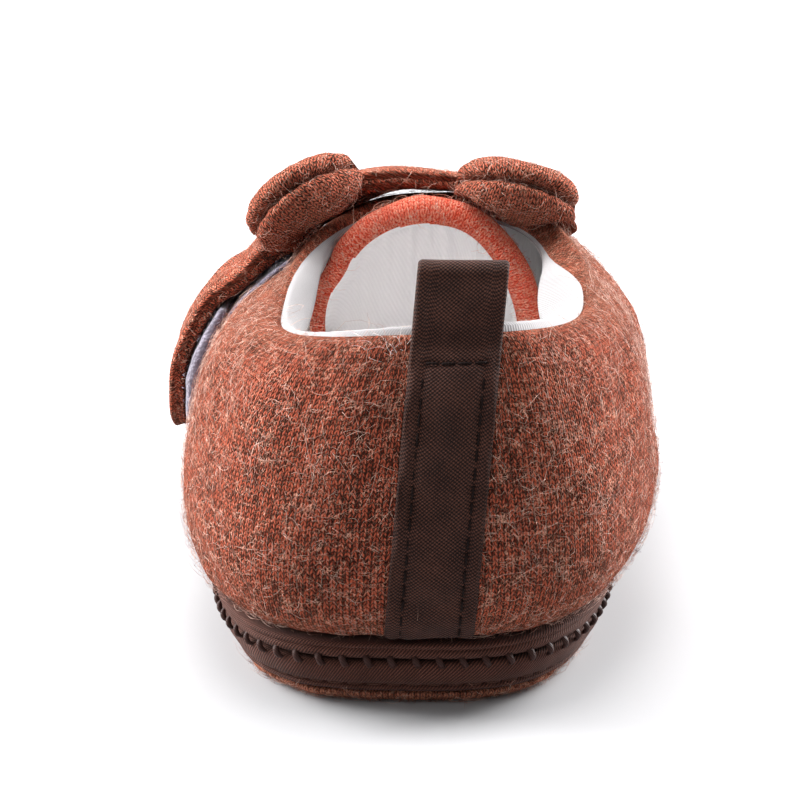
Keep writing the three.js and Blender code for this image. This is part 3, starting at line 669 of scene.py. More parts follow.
def woven_cloth(name, ground, raised, repeat, slant, depth):
    """Woven cloth: threads crossing over and under, or in slanting twill lines."""
    material, tree, shader = new_material(name)
    flat = cloth_millimetres(tree)
    parts = strand(tree, "SeparateXYZ")
    tree.links.new(flat, parts.inputs[0])
    over = sum_of(tree, "MULTIPLY", parts.outputs[0], 2 * math.pi / repeat[0])
    under = sum_of(tree, "MULTIPLY", parts.outputs[1], 2 * math.pi / repeat[1])
    if slant:
        height = sum_of(tree, "SINE", sum_of(tree, "ADD", over, under))
        rungs = sum_of(tree, "SINE", sum_of(tree, "MULTIPLY", over, 2.0))
        height = sum_of(tree, "MULTIPLY_ADD", rungs, 0.35, height)
    else:
        height = sum_of(tree, "MULTIPLY", sum_of(tree, "SINE", over), sum_of(tree, "SINE", under))
    fine = blotches(tree, flat, 4.0, 3.0, 0.6)
    broad = blotches(tree, flat, 0.25, 2.0)
    # The colour follows the weave's height: painted shade where the threads dip, lighter on the raised
    # threads. The broad term is the cloth's own mottle; the fine term also raises the surface, so it is both
    # mottle and painted shade.
    tone = sum_of(tree, "MULTIPLY_ADD", height, 0.26, 0.1)
    tone = sum_of(tree, "MULTIPLY_ADD", fine, 0.5, tone)
    tone = sum_of(tree, "MULTIPLY_ADD", broad, 0.3, tone)
    tree.links.new(colour_steps(tree, tone, ((0.4, ground), (0.85, raised))), shader.inputs["Base Color"])
    raise_surface(tree, shader, sum_of(tree, "MULTIPLY_ADD", fine, 0.5, height), 0.9, depth)
    set_inputs(shader, {"Roughness": 0.8, "Specular IOR Level": 0.12, "Sheen Weight": 0.04})
    return material


def pushed_out(face, amount, first, last):
    """Moves some of a sole piece's rings in and out, level with the floor, by the given amounts."""
    outward = unit((face - face.mean(axis=1, keepdims=True)) * np.array([1, 1, 0]))
    share = np.zeros(len(face))
    share[first:last] = 1
    return face + outward * (amount * share[:, None])[..., None]


twill_repeat = (0.46, 0.6)
twill = woven_cloth("dark_twill", (0.027, 0.0095, 0.0066), (0.135, 0.050, 0.034), twill_repeat, True, 0.00005)
pad_knit = heather_knit(
    "sole_knit", (0.05, 0.012, 0.007), (0.27, 0.070, 0.040), (0.55, 0.21, 0.13), (0.66, 0.35, 0.25))

# Each profile lists height above the piece's base and step outward from the sole's outline.
edge_steps = (
    (0, -3.4), (0.05, -2.3), (0.12, -1.6), (0.3, -1.15), (0.6, -0.85), (0.9, -0.55), (1.2, -0.35),
    (1.5, -0.32), (1.75, -0.42), (1.9, -0.7), (1.95, -1.3))
pad_rings_under = [drawn_in(sole_ring(0, -3.4), share) for share in (1, 0.75, 0.5, 0.25)]
pad_rings_edge = [sole_ring(z, step) for z, step in edge_steps]
pad_rings_over = [drawn_in(sole_ring(1.95, -1.3), share) for share in (0.3, 0.65, 1)]
pad_face = np.stack(pad_rings_under + pad_rings_edge + pad_rings_over)
shag = 0.22 * soft_noise(pad_face, 2.4, 21) + 0.18 * soft_noise(pad_face, 6, 22)
pad_face = pushed_out(pad_face, shag, 8, 14)
pad_face[:, -1] = pad_face[:, 0]
sole_pad = lay_cloth("sole_pad", pad_face, even_uv(pad_face, sole_ring(6, 0), 1.1), [pad_knit])
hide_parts("outsole")
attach(sole_pad, "root")

band_profile = np.array([
    (0, -0.9), (0.05, -0.45), (0.2, -0.05), (0.4, 0.12), (0.65, 0.16), (0.85, 0.08), (1.0, -0.15),
    (1.1, -0.42), (1.22, -0.42), (1.35, -0.05), (1.55, 0.22), (2.0, 0.38), (2.6, 0.46), (3.2, 0.45),
    (3.8, 0.38), (4.25, 0.28), (4.55, 0.1), (4.75, -0.25), (4.87, -0.75), (4.9, -1.7)])
band_steps = band_profile + (band_base, 0)
inside_step = -welt_width - 0.3
under = [drawn_in(sole_ring(band_base, -0.9), share) for share in (1, 0.6, 0.25)]
over = [sole_ring(band_top, inside_step), sole_ring(sole_top, inside_step)]
over += [drawn_in(sole_ring(sole_top, inside_step), share) for share in (0.4, 1)]
band_face = np.stack(under + [sole_ring(z, step) for z, step in band_steps] + over)
crease = 0.10 * soft_noise(band_face, 9, 31) + 0.05 * soft_noise(band_face * np.array([1, 1, 2.5]), 3.2, 32)
band_face = pushed_out(band_face, crease, 5, 20)
band_face[:, -1] = band_face[:, 0]
sole_band = lay_cloth("sole_band", band_face, even_uv(band_face, sole_ring(6, 0), twill_repeat[0]), [twill])
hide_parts("midsole")
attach(sole_band, "root")

welt_profile = np.array([
    (0, -5.2), (0, -2.5), (0.01, -0.9), (0.07, -0.35), (0.24, 0.06), (0.6, 0.27), (1.05, 0.34), (1.35, 0.2),
    (1.5, -0.02), (1.62, -0.05), (1.75, 0.12), (2.0, 0.26), (2.25, 0.12), (2.38, -0.25), (2.4, -1.0),
    (2.4, -2.5), (2.4, -5.2), (0, -5.2)])
welt_steps = welt_profile + (welt_base, 0)
welt_face = np.stack([sole_ring(z, step) for z, step in welt_steps])
crease = 0.10 * soft_noise(welt_face, 12, 41) + 0.06 * soft_noise(welt_face * np.array([1, 1, 3]), 3.5, 42)
welt_face = pushed_out(welt_face, crease, 2, 15)
# The groove where the strip is folded wavers up and down.
welt_face[8:10, :, 2] += 0.12 * soft_noise(sole_ring(welt_base + 1.5, 0), 16, 43)
welt_face[:, -1] = welt_face[:, 0]
welt_strip = lay_cloth("welt_strip", welt_face, even_uv(welt_face, sole_ring(6, 0), twill_repeat[0]), [twill])
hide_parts("welt")
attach(welt_strip, "root")


def sewing_thread(name, colour, shine):
    """Twisted thread, with a painted highlight along each turn of the twist."""
    material, tree, shader = new_material(name)
    where = strand(tree, "TexCoord")
    wave = strand(tree, "TexWave", wave_type="BANDS", bands_direction="DIAGONAL")
    set_inputs(wave, {"Scale": 1500, "Distortion": 1.5})
    tree.links.new(where.outputs["Object"], wave.inputs["Vector"])
    # Painted highlight: the thread's colour, brightened along the ridge of each turn.
    painted_twist_highlight = tuple(min(1, c * 2.2) for c in colour)
    twist = wave.outputs["Fac"]
    tree.links.new(colour_steps(tree, twist, ((0.2, colour), (0.9, painted_twist_highlight))), shader.inputs["Base Color"])
    raise_surface(tree, shader, twist, 0.6, 0.00005)
    set_inputs(shader, {"Roughness": 0.55, "Specular IOR Level": shine})
    return material


def one_stitch(length, thick, proud):
    """A stitch of thread that comes up out of the cloth, lies on it and goes back in."""
    bpy.ops.object.select_all(action="DESELECT")
    bpy.ops.mesh.primitive_cylinder_add(vertices=6, radius=0.5, depth=1, end_fill_type="TRIFAN")
    stitch = bpy.context.active_object
    bpy.ops.object.mode_set(mode="EDIT")
    shape = bmesh.from_edit_mesh(stitch.data)
    for edge in shape.edges:
        a, b = (v.co for v in edge.verts)
        edge.select_set(abs(a.z - b.z) > 0.5)
    bmesh.update_edit_mesh(stitch.data)
    bpy.ops.mesh.subdivide_edgering(number_cuts=5, interpolation="LINEAR", smoothness=0)
    bpy.ops.object.mode_set(mode="OBJECT")
    for v in stitch.data.vertices:
        share = v.co.z * 2
        arch = math.cos(share * math.pi / 2) ** 0.5
        v.co = Vector((v.co.x * thick, v.co.z * length, v.co.y * thick * 0.8 + proud * (2 * arch - 1)))
    bpy.ops.object.shade_smooth()
    return stitch


def sew(name, stitch, spots, alongs, facings, material):
    """Copies one stitch to every spot, lying along the seam on the cloth, and joins them."""
    copies = []
    for spot, along, facing in zip(place_in_frame(spots), unit(alongs), unit(facings)):
        copy = bpy.data.objects.new(name, stitch.data.copy())
        side = unit(np.cross(along, facing))
        up = np.cross(side, along)
        turned = np.eye(4)
        turned[:3, :3] = np.stack([side, along, up], 1) * 0.001
        turned[:3, 3] = spot
        copy.data.transform(Matrix(turned.tolist()))
        bpy.context.scene.collection.objects.link(copy)
        copies.append(copy)
    bpy.data.objects.remove(stitch, do_unlink=True)
    bpy.ops.object.select_all(action="DESELECT")
    for copy in copies:
        copy.select_set(True)
    bpy.context.view_layer.objects.active = copies[0]
    bpy.ops.object.join()
    seam = bpy.context.active_object
    seam.name = seam.data.name = name
    seam.data.materials.clear()
    seam.data.materials.append(material)
    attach(seam, "root")
    return seam


def even_places(ring, pitch):
    """Spots a stitch apart round a closed ring, as fractional places along its points."""
    length = distance_along(ring)
    count = int(round(length[-1] / pitch))
    return np.interp((np.arange(count) + 0.5) / count * length[-1], length, np.arange(len(ring)))


def at_place(ring, places):
    """Points at fractional places along a ring."""
    return np.stack([np.interp(places, np.arange(len(ring)), ring[:, axis]) for axis in range(3)], -1)


def ways_at(ring, places):
    """Spots on a seam's ring, with the ways along it and out of it there."""
    spots = at_place(ring, places)
    forward = unit(at_place(ring, places + 1) - at_place(ring, places - 1))
    outward = unit(np.cross(forward, np.array([0, 0, 1.0])))
    outward = outward * np.sign((outward * (spots - ring.mean(axis=0))).sum(axis=1))[:, None]
    return spots, forward, outward


dark_thread = sewing_thread("dark_thread", (0.021, 0.0078, 0.006), 0.15)
seam_ring = sole_ring(band_top + 0.1, 0.25)
places = even_places(seam_ring, 3.1)
places = places + np.random.default_rng(5).normal(0, 0.12, len(places))
spots, forward, outward = ways_at(seam_ring, places)
slanted = unit(forward * 0.42 + np.array([0, 0, 1.0]) + outward * 0.12)
whip_stitch = one_stitch(2.0, 0.95, 0.34)
sew("whip_stitches", whip_stitch, spots + outward * 0.05, slanted, outward, dark_thread)

light_thread = sewing_thread("light_thread", (0.045, 0.018, 0.012), 0.2)
seam_ring = sole_ring(band_base + 1.16, -0.3)
spots, forward, outward = ways_at(seam_ring, even_places(seam_ring, 2.6))
sew("band_stitches", one_stitch(1.9, 0.3, 0.12), spots, forward, outward, light_thread)


# Insole: a soft sock of the same white jersey over thin foam, cut to the upper's inside and glued
# down on the sole, with a rounded edge.
sock_turns = sole_turns
sock_normal = upper_directions(sock_turns, np.array([0.0]))[0][0]
sock_flat = unit(sock_normal * np.array([1, 1, 0]))
sock_edge = upper_face(sock_turns, np.array([0.0]))[0] - sock_flat * (wall + 0.3)


def sock_ring(lift, inset):
    """The sock's edge, lifted off the sole and stepped in."""
    ring = sock_edge - sock_flat * inset
    ring[:, 2] = seam_height + lift + spring_at(ring[:, 1])
    ring[-1] = ring[0]
    return ring


def drawn_level(ring, share):
    """A ring drawn in towards its spine, still following the sole's lift at the toe."""
    middle = (ring + ring[::-1]) / 2
    spine = np.stack([middle[:, 0], np.clip(middle[:, 1], -32, 32), ring[:, 2]], -1)
    moved = mix(ring, spine, share)
    moved[:, 2] = ring[:, 2].min() + spring_at(moved[:, 1])
    return moved


sock_profile = ((0, 0.5), (0.15, 0.1), (0.5, 0), (1.2, 0), (1.6, 0.15), (1.9, 0.6), (2.0, 1.2))
sock_face = np.stack(
    [drawn_level(sock_ring(0, 0.5), share) for share in (1, 0.5)]
    + [sock_ring(lift, inset) for lift, inset in sock_profile]
    + [drawn_level(sock_ring(2.0, 1.2), share) for share in (0.15, 0.35, 0.6, 0.8, 1)])
insole = lay_cloth("insole_sock", sock_face, even_uv(sock_face), [white_jersey])
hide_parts("insole")
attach(insole, "root")


# Tongue: a short padded arch in orange-red knit that comes up from under the vamp. Its knit is
# rolled over the free edge and sewn to a white jersey lining, which gathers in creases at the top.
def surface_tree(grid):
    """A grid's faces as a tree, to find where a straight line meets them."""
    rows, columns = grid.shape[:2]
    corner = np.arange(rows * columns).reshape(rows, columns)
    faces = np.stack([corner[:-1, :-1], corner[:-1, 1:], corner[1:, 1:], corner[1:, :-1]], -1).reshape(-1, 4)
    return BVHTree.FromPolygons(grid.reshape(-1, 3).tolist(), faces.tolist())


def ring_round(points, normals, half, inner, outer, left, right, edge_turns, lobe):
    """One closed ring of a soft slab: both faces of a row, with a rounding at each side."""
    swings = np.linspace(0, np.pi / 2, edge_turns)[:-1]
    dip = 1 - lobe * np.exp(-((swings / 0.42) ** 2))

    def turned(c, outward, sign, order):
        arc = [
            points[c] + half[c] * (math.cos(s) * outward * d + sign * math.sin(s) * normals[c])
            for s, d in zip(swings, dip)]
        return arc[::order]

    under = points - normals * (half + inner)[:, None]
    over = points + normals * (half + outer)[:, None]
    ring = turned(0, left, -1, 1) + list(under) + turned(-1, right, -1, -1) + turned(-1, right, 1, 1)[1:]
    ring += list(over[::-1]) + turned(0, left, 1, -1)
    return np.array(ring)


def pad_round(grid, half, inner=None, outer=None, end_turns=6, edge_turns=6, lobe=0.0):
    """Closed rings round a soft slab whose middle surface is the grid, with rounded edges and ends."""
    rows, columns = grid.shape[:2]
    inner = np.zeros((rows, columns)) if inner is None else inner
    outer = np.zeros((rows, columns)) if outer is None else outer
    normals = unit(np.cross(np.gradient(grid, axis=0), np.gradient(grid, axis=1)))
    left, right = unit(grid[:, 0] - grid[:, 1]), unit(grid[:, -1] - grid[:, -2])

    def ring_at(r, middle, size):
        return ring_round(
            middle, normals[r], half[r] * size, inner[r] * size, outer[r] * size, left[r], right[r],
            edge_turns, lobe)

    rings = []
    swings = np.linspace(np.pi / 2, 0, end_turns)[:-1]
    for r, step, order in ((0, grid[0] - grid[1], 1), (rows - 1, grid[-1] - grid[-2], -1)):
        cap = []
        for s in swings:
            push = math.sin(s) * (1 - lobe * math.exp(-(((np.pi / 2 - s) / 0.42) ** 2)))
            cap.append(ring_at(r, grid[r] + unit(step) * (half[r] * push)[:, None], math.cos(s)))
        rings.append(cap[::order])
    body = [ring_at(r, grid[r], 1) for r in range(rows)]
    return np.array(rings[0] + body + rings[1])


tongue_width, tongue_drop, tongue_thick, tongue_length, tongue_taper = 33, 19, 4.2, 24, 2.6
tongue_top, tongue_back, tongue_centre, tongue_ease, tongue_thin = 54.9, -2.4, -0.5, 0.35, 2.6
upper_tree = surface_tree(rings)
tongue_rows, tongue_columns = 56, 120
share = np.linspace(0, 1, tongue_rows)[:, None] ** 1.3
swing = np.radians(np.linspace(-94, 94, tongue_columns))[None, :]
half_rim = tongue_thick / 2
centre_z = tongue_top - tongue_drop
y = tongue_back + half_rim + share * (tongue_length - half_rim)
sink = 7.4 * ease(share / 0.5) + 7 * np.clip(share - 0.5, 0, None)
spoke = np.stack(np.broadcast_arrays(
    ((tongue_width - tongue_taper * ease(share / 0.3)) / 2 - half_rim) * np.sin(swing), 0 * swing * share,
    (tongue_drop - half_rim) * np.cos(swing) - sink * np.clip(np.cos(swing), 0, None)), -1)
length = np.linalg.norm(spoke, axis=-1)
room = np.full(length.shape, np.inf)
for r in range(tongue_rows):
    start = Vector((tongue_centre, float(y[r, 0]), centre_z))
    for c in range(tongue_columns):
        hit = upper_tree.ray_cast(start, Vector(spoke[r, c]).normalized())
        if hit[0] is not None:
            room[r, c] = hit[3] - half_rim - tongue_ease
length_now = np.minimum(length, room)
for _ in range(6):
    padded = np.pad(length_now, 1, mode="edge")
    beside = padded[:-2, 1:-1] + padded[2:, 1:-1] + padded[1:-1, :-2] + padded[1:-1, 2:]
    length_now = np.minimum((beside + 2 * length_now) / 6, room + 0.25)
tongue_grid = np.stack(np.broadcast_arrays(tongue_centre, y, centre_z), -1)
tongue_grid = tongue_grid + spoke * (length_now / length)[..., None]
half = mix(tongue_thick, tongue_thin, ease(share / 0.6)) / 2
pinch = half * (0.5 * ease((-np.degrees(swing) - 52) / 40) + 0.2 * ease((np.degrees(swing) - 66) / 28))
half = half - pinch
depth_in = (y - y[0]) + 0 * swing
degrees = np.degrees(swing)
folds = sum(swell(degrees + lean * depth_in, at, spread) * deep for at, spread, deep, lean in (
    (-9, 2.0, 0.62, 0.3), (1.5, 1.4, 0.35, 0.0), (11, 1.9, 0.6, -0.5), (15.5, 1.3, 0.4, -0.2),
    (-27, 3.5, 0.3, 0.4), (34, 4, 0.3, -0.4)))
folds = 1.7 * folds * ease(depth_in / 1.2) * (1 - ease((depth_in - 6) / 7))
seam_dip = 0.55 * swell(depth_in, 0.35, 0.45)
inner = 0.25 * soft_noise(tongue_grid, 9, 51) - folds - seam_dip + 0.3 * swell(depth_in, 2.2, 1.4)
inner = inner - pinch
outer = 0.2 * soft_noise(tongue_grid, 8, 52) + pinch
quarter, lining_hang, hang_length = 6, 15.5, 18
tongue_face = pad_round(tongue_grid, half, outer, inner, end_turns=10, edge_turns=quarter + 1)
red_knit = heather_knit(
    "red_knit", (0.72, 0.034, 0.014), (1.0, 0.110, 0.056), (1.0, 0.30, 0.19), (1.0, 0.60, 0.46),
    sheen=0.9, tint=(1.0, 0.30, 0.20))

# A ring starts with a quarter round one side, runs over the knit, round the other side in two
# quarters and back along the lining, which hangs down into the shoe behind the rolled edge.
rounded_side = 2 * quarter - 1
lining_start = quarter + tongue_columns + rounded_side
lining_end = lining_start + tongue_columns
hung = np.interp(
    np.arange(tongue_face.shape[1]),
    (lining_start - rounded_side, lining_start, lining_end, lining_end + rounded_side), (0, 1, 1, 0))
tongue_face[..., 2] -= lining_hang * hung * ease((tongue_face[..., 1] - y[0]) / hang_length)

# The lining's jersey begins at the red edge, right behind the rounded end at the sides, and far
# under the vamp it takes the knit's place too.
side_seam_row, vamp_row = 10, 36
lining_slots = np.zeros((len(tongue_face) - 1, tongue_face.shape[1] - 1), int)
red_edge = np.interp(np.arange(tongue_columns), (0, 34, 60, 100, 119), (12, 11, 5, 3, 1)).round().astype(int)
for c, edge_row in enumerate(red_edge[:-1]):
    lining_slots[edge_row:, lining_start + c] = 1
lining_slots[side_seam_row:, lining_start - rounded_side:] = 1
lining_slots[side_seam_row:, :quarter] = 1
lining_slots[vamp_row:] = 1
tongue_uv = even_uv(tongue_face, tongue_face[12], 0.9)
tongue = lay_cloth("tongue_arch", tongue_face, tongue_uv, [red_knit, white_jersey], lining_slots)
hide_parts("tongue")
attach(tongue, "root")


# Fastening: a strip of lilac-grey loop tape sewn on the outer side of the vamp, and a shorter
# strip of hook tape on the underside of the strap, pressed onto it.
axis_x, axis_z, vamp_start, vamp_step = 0.6, 22, 14, 6
strap_width, strap_thick, strap_slack, strap_back = 23, 2.4, 2.2, 6
strap_corner, tape_thick, tape_width, tape_inset, gap = 6, 0.9, 17, 1.8, 0.3
strap_loose, strap_sewn, hook_top, loop_top = -98, 36, -66, -45
strap_bow, tape_extra = 1.4, 2.2


def reach_over(y, swing):
    """How far the upper reaches from the instep's axis in a direction round it."""
    way = Vector((math.sin(swing), 0, math.cos(swing)))
    hit = upper_tree.ray_cast(Vector((axis_x, y, axis_z)) + way * 90, -way)
    return 90 - hit[3]


def saddle(y, degrees, lift):
    """A point over the instep. Behind the vamp's start it follows the vamp's slope on into the air."""
    swing = math.radians(degrees)
    on_vamp = max(y, vamp_start)
    distance = reach_over(on_vamp, swing)
    if y < vamp_start:
        slope = (reach_over(vamp_start + vamp_step, swing) - reach_over(vamp_start, swing)) / vamp_step
        distance += slope * (y - on_vamp)
    distance += lift
    return (axis_x + math.sin(swing) * distance, y, axis_z + math.cos(swing) * distance)


def bow_out(degrees):
    """The strap bows away from the upper above its loose end, where the hook tape's edge shows."""
    return strap_bow * swell(degrees, -81, 13)


def strap_stand(degrees):
    """How far the strap's underside stands off the upper, with the tapes and its slack."""
    step = tape_thick + gap
    over = step * ease((loop_top + 9 - degrees) / 9) + step * ease((hook_top + 9 - degrees) / 9)
    return gap + over + strap_slack * swell(degrees, -26, 24) + bow_out(degrees)


def pile_tape(name, ground, raised, size):
    """Woven tape with a pile of tiny loops or hooks."""
    material, tree, shader = new_material(name)
    flat = cloth_millimetres(tree)
    cells = strand(tree, "TexVoronoi")
    cells.inputs["Scale"].default_value = 1 / size
    tree.links.new(flat, cells.inputs["Vector"])
    fine = blotches(tree, flat, 5.0, 3.0, 0.7)
    # The colour follows the pile's height: painted shade between the loops or hooks, lighter on their tops.
    # The fine term is also the tape's own mottle.
    tone = sum_of(tree, "MULTIPLY_ADD", fine, 0.8, cells.outputs["Distance"])
    colour = colour_steps(tree, sum_of(tree, "MULTIPLY", tone, 0.7), ((0.25, raised), (0.8, ground)))
    tree.links.new(colour, shader.inputs["Base Color"])
    raise_surface(tree, shader, tone, 0.9, 0.0002, invert=True)
    set_inputs(shader, {"Roughness": 0.9, "Sheen Weight": 0.5, "Sheen Roughness": 0.5})
    return material


loop_pile = pile_tape("loop_pile", (0.10, 0.084, 0.125), (0.26, 0.235, 0.31), 0.34)
hook_pile = pile_tape("hook_pile", (0.10, 0.084, 0.12), (0.26, 0.235, 0.30), 0.5)


def tape_strip(name, node, start, stop, lift, material, rows, swollen=0):
    """A strip of tape round the vamp. A swollen one fills the bow of the strap over it."""
    back = strap_back + tape_inset - tape_extra
    widthwise = np.linspace(back, back + tape_width + tape_extra, 26)
    along = np.linspace(start, stop, rows)
    fuller = swollen * bow_out(along) / 2
    grid = np.array([[saddle(y, d, lift + more) for y in widthwise] for d, more in zip(along, fuller)])
    half = np.full(grid.shape[:2], tape_thick / 2) + fuller[:, None]
    ruffle = 0.12 * soft_noise(grid, 2.2, 61)
    face = pad_round(grid, half, None, ruffle, end_turns=4, edge_turns=4)
    strip = lay_cloth(name, face, even_uv(face), [material])
    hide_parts(node)
    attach(strip, "root")
    return face


loop_lift, hook_lift = gap + tape_thick / 2, 2 * gap + tape_thick * 1.5
loop_face = tape_strip("loop_tape_strip", "loop_tape", strap_loose + 4, loop_top, loop_lift, loop_pile, 60)
hook_face = tape_strip("hook_tape_strip", "hook_tape", strap_loose + 5, hook_top, hook_lift, hook_pile, 40, 1)


# Strap: two layers of the heather knit sewn back to back round its edge, over the instep from
# the loose end on the outer side to the end sewn down beside the inner ear.
strap_half = strap_width / 2 - strap_thick / 2
strap_middle = strap_back + strap_width / 2
strap_columns = 40
strap_degrees = np.linspace(strap_loose, strap_sewn, 130)
strap_rows = []
for degrees in strap_degrees:
    from_end = (degrees - strap_loose) / 180 * math.pi * (heel_width / 2)
    cut = strap_corner - min(strap_corner, from_end)
    reach_y = strap_half - strap_corner + math.sqrt(strap_corner**2 - cut**2)
    lift = strap_stand(degrees) + strap_thick / 2
    widthwise = np.linspace(strap_middle - reach_y, strap_middle + reach_y, strap_columns)
    strap_rows.append([saddle(y, degrees, lift) for y in widthwise])
strap_grid = np.array(strap_rows)
half = np.full(strap_grid.shape[:2], strap_thick / 2)
wave = 0.16 * soft_noise(strap_grid, 11, 71)
edge_line = np.arange(strap_columns)
quilt = -0.28 * (swell(edge_line, 3.5, 0.9) + swell(edge_line, 35.5, 0.9))[None, :]
sag = 1.7 * swell(strap_degrees, -30, 17)[:, None] + 0 * half
strap_face = pad_round(strap_grid, half, quilt + sag, quilt + wave, end_turns=7, edge_turns=8, lobe=0.5)
strap = lay_cloth("strap_band", strap_face, even_uv(strap_face)[..., ::-1], [brown_knit])
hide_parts("strap")
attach(strap, "root")


# Ears: two small half-round pockets of the same knit, stuffed, with the seam drawn in round the
# rim, and sewn by their straight side to the strap's back edge.
ear_width, ear_reach, ear_thick, ear_tilt = 17.6, 11.8, 8.8, math.radians(25)
ear_section = np.array([
    (0, 1), (0.34, 0.98), (0.6, 0.9), (0.8, 0.77), (0.93, 0.57), (1, 0.34), (0.95, 0.11), (0.72, 0)])
tongue_tree = surface_tree(tongue_face)


def rest_height(x, y):
    """The lowest height that keeps clear of the upper and the tongue."""
    height = 0
    for step_x, step_y in ((0, 0), (1, 0), (-1, 0), (0, 1), (0, -1)):
        for tree in (upper_tree, tongue_tree):
            hit = tree.ray_cast(Vector((x + step_x, y + step_y, 120)), Vector((0, 0, -1)))
            if hit[0] is not None:
                height = max(height, hit[0].z + 2 * gap)
    return height


def stuffed_ear(name, node, degrees, lift, seed):
    """A half-round pillow, as pages that fan out round the middle of its straight side."""
    root, beside = (
        np.array(saddle(strap_back, at, strap_stand(at) + strap_thick / 2 + lift))
        for at in (degrees, degrees + 4))
    wide = unit(beside - root)
    outward = unit(np.cross([0, 1, 0], wide))
    outward = outward * np.sign(outward[2])
    back = np.array([0, -1, 0])
    reach = back * math.cos(ear_tilt) + outward * math.sin(ear_tilt)
    thick = outward * math.cos(ear_tilt) - back * math.sin(ear_tilt)
    stand_off = gap + (strap_thick / 2 + abs(lift)) * math.sin(ear_tilt)
    section = through(ear_section[::-1], np.linspace(0, 1, 30))
    loop = np.concatenate([section * (1, 1), section[::-1][:-1] * (1, -1), section[:1]])
    arc = distance_along(section * (ear_reach, ear_thick / 2))
    arc = arc[-1] - arc
    arc = np.concatenate([arc, arc[::-1][:-1], arc[:1]])
    pages, flats = [], []
    swings = np.linspace(0, np.pi, 72)
    rim = swell(loop[:, 0], 0.9, 0.12)
    for swing, level in [(0, 0), *((s, 1) for s in swings), (np.pi, 0)]:
        pucker = 1 + rim * 0.022 * math.sin(swing * 17 + seed) + 0.012 * math.sin(swing * 5 + seed)
        pages.append(
            root + back * stand_off
            - wide * (math.cos(swing) * loop[:, :1] * pucker[:, None] * ear_width / 2)
            + reach * (math.sin(swing) * loop[:, :1] * pucker[:, None] * ear_reach)
            + thick * (loop[:, 1:] * level * ear_thick / 2))
        flats.append(np.stack([-math.cos(swing) * arc, math.sin(swing) * arc], -1))
    pages = np.array(pages)
    heart = root + reach * ear_reach * 0.4
    pages = pages + unit(pages - heart) * (0.18 * soft_noise(pages, 6, seed))[..., None]
    pages[0], pages[-1] = pages[1], pages[-2]
    for end in (0, -1):
        pages[end] = (pages[end] + pages[end][::-1]) / 2
    for spot in pages.reshape(-1, 3):
        floor = rest_height(spot[0], spot[1])
        above = spot[2] - floor - 1
        if above < 0:
            spot[2] = floor + math.exp(above)
    ear = lay_cloth(name, pages, np.array(flats), [ear_knit_painted_shade])
    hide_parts(node)
    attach(ear, "root")
    return pages


# The ears' knit: the brown knit with larger stitches, made darker as painted shade.
ear_knit_painted_shade = heather_knit(
    "ear_knit_painted_shade", (0.005, 0.0008, 0.0005), (0.054, 0.0056, 0.0034), (0.40, 0.088, 0.050), (0.6, 0.28, 0.19),
    wale=1.15, course=0.9, stitch_share=1.2)
outer_ear = stuffed_ear("outer_ear", "ear_outer", -31, 0.6, 81)
inner_ear = stuffed_ear("inner_ear", "ear_inner", 20, -0.9, 82)


# Heel tab: dark woven tape sewn flat up the heel with a line of stitches inside each edge and one
# across, then folded into a pull loop over the collar and caught inside it.
tab_width, tab_thick, tab_top, tab_foot, tab_head = 11.6, 1.1, 59.8, 1.9, 6.2
tab_fold, tab_inside = 1.3, 7
tab_half = tab_thick / 2
edge = upper_face(np.array([0.0]), np.array([1.0]))[0, 0]
roll_top = edge[2] + roll_ends / 2
foot_z = seam_height + gap
fold_y = edge[1] + roll_ends / 2


def tab_centre(z):
    """The tape's middle line, which leans to the inner side as it rises."""
    return mix(tab_foot, tab_head, (z - foot_z) / (tab_top - foot_z))


def heel_hit(x, z, outside):
    """Where the tape's middle lies, outside or inside the heel's wall."""
    start, way = ((x, -90, z), (0, 1, 0)) if outside else ((x, -20, z), (0, -1, 0))
    hit = upper_tree.ray_cast(Vector(start), Vector(way))
    space = (tab_half + 0.1) / max(0.3, abs(hit[1].y))
    return hit[0].y - space if outside else hit[0].y + space


def outer_leg(x, z):
    return heel_hit(x, z, True)


def inner_leg(x, z):
    return heel_hit(x, z, False)


tab_spots = [(z, outer_leg) for z in np.linspace(foot_z + 0.9, edge[2] - 1, 16)]
tab_spots += [
    (roll_top, lambda x, z: mix(outer_leg(x, edge[2] - 1), fold_y - tab_fold, 0.25)),
    (mix(roll_top, tab_top, 0.4), lambda x, z: fold_y - tab_fold * 1.5),
    (mix(roll_top, tab_top, 0.72), lambda x, z: fold_y - tab_fold),
    (tab_top - tab_half - tab_fold * 0.45, lambda x, z: fold_y - tab_fold * 0.8),
    (tab_top - tab_half, lambda x, z: fold_y),
    (tab_top - tab_half - tab_fold * 0.45, lambda x, z: fold_y + tab_fold * 0.8),
    (mix(roll_top, tab_top, 0.72), lambda x, z: fold_y + tab_fold),
    (mix(roll_top, tab_top, 0.4), lambda x, z: fold_y + tab_fold * 1.5),
    (roll_top, lambda x, z: inner_leg(x, edge[2] - 0.5)),
]
tab_spots += [(z, inner_leg) for z in np.linspace(edge[2] - 1.5, edge[2] - tab_inside, 3)]
sides = np.linspace(-1, 1, 25)
coarse = []
for z, depth_at in tab_spots:
    xs = tab_centre(z) + sides * (tab_width - tab_thick) / 2
    coarse.append([(x, depth_at(x, z), z) for x in xs])
tab_grid = through(np.array(coarse), np.linspace(0, 1, 260))
along_tab = distance_along(tab_grid[:, 12])
leg_end = along_tab[np.argmax(tab_grid[:, 12, 2] > 47.3)]
sewn = 1 - ease((along_tab - leg_end) / 1.5)
across_tab = sides * (tab_width - tab_thick) / 2
line_at = tab_width / 2 - 2.0
lines = (swell(across_tab, -line_at, 0.42) + swell(across_tab, line_at, 0.42))[None, :]
lines = lines * (along_tab < leg_end)[:, None]
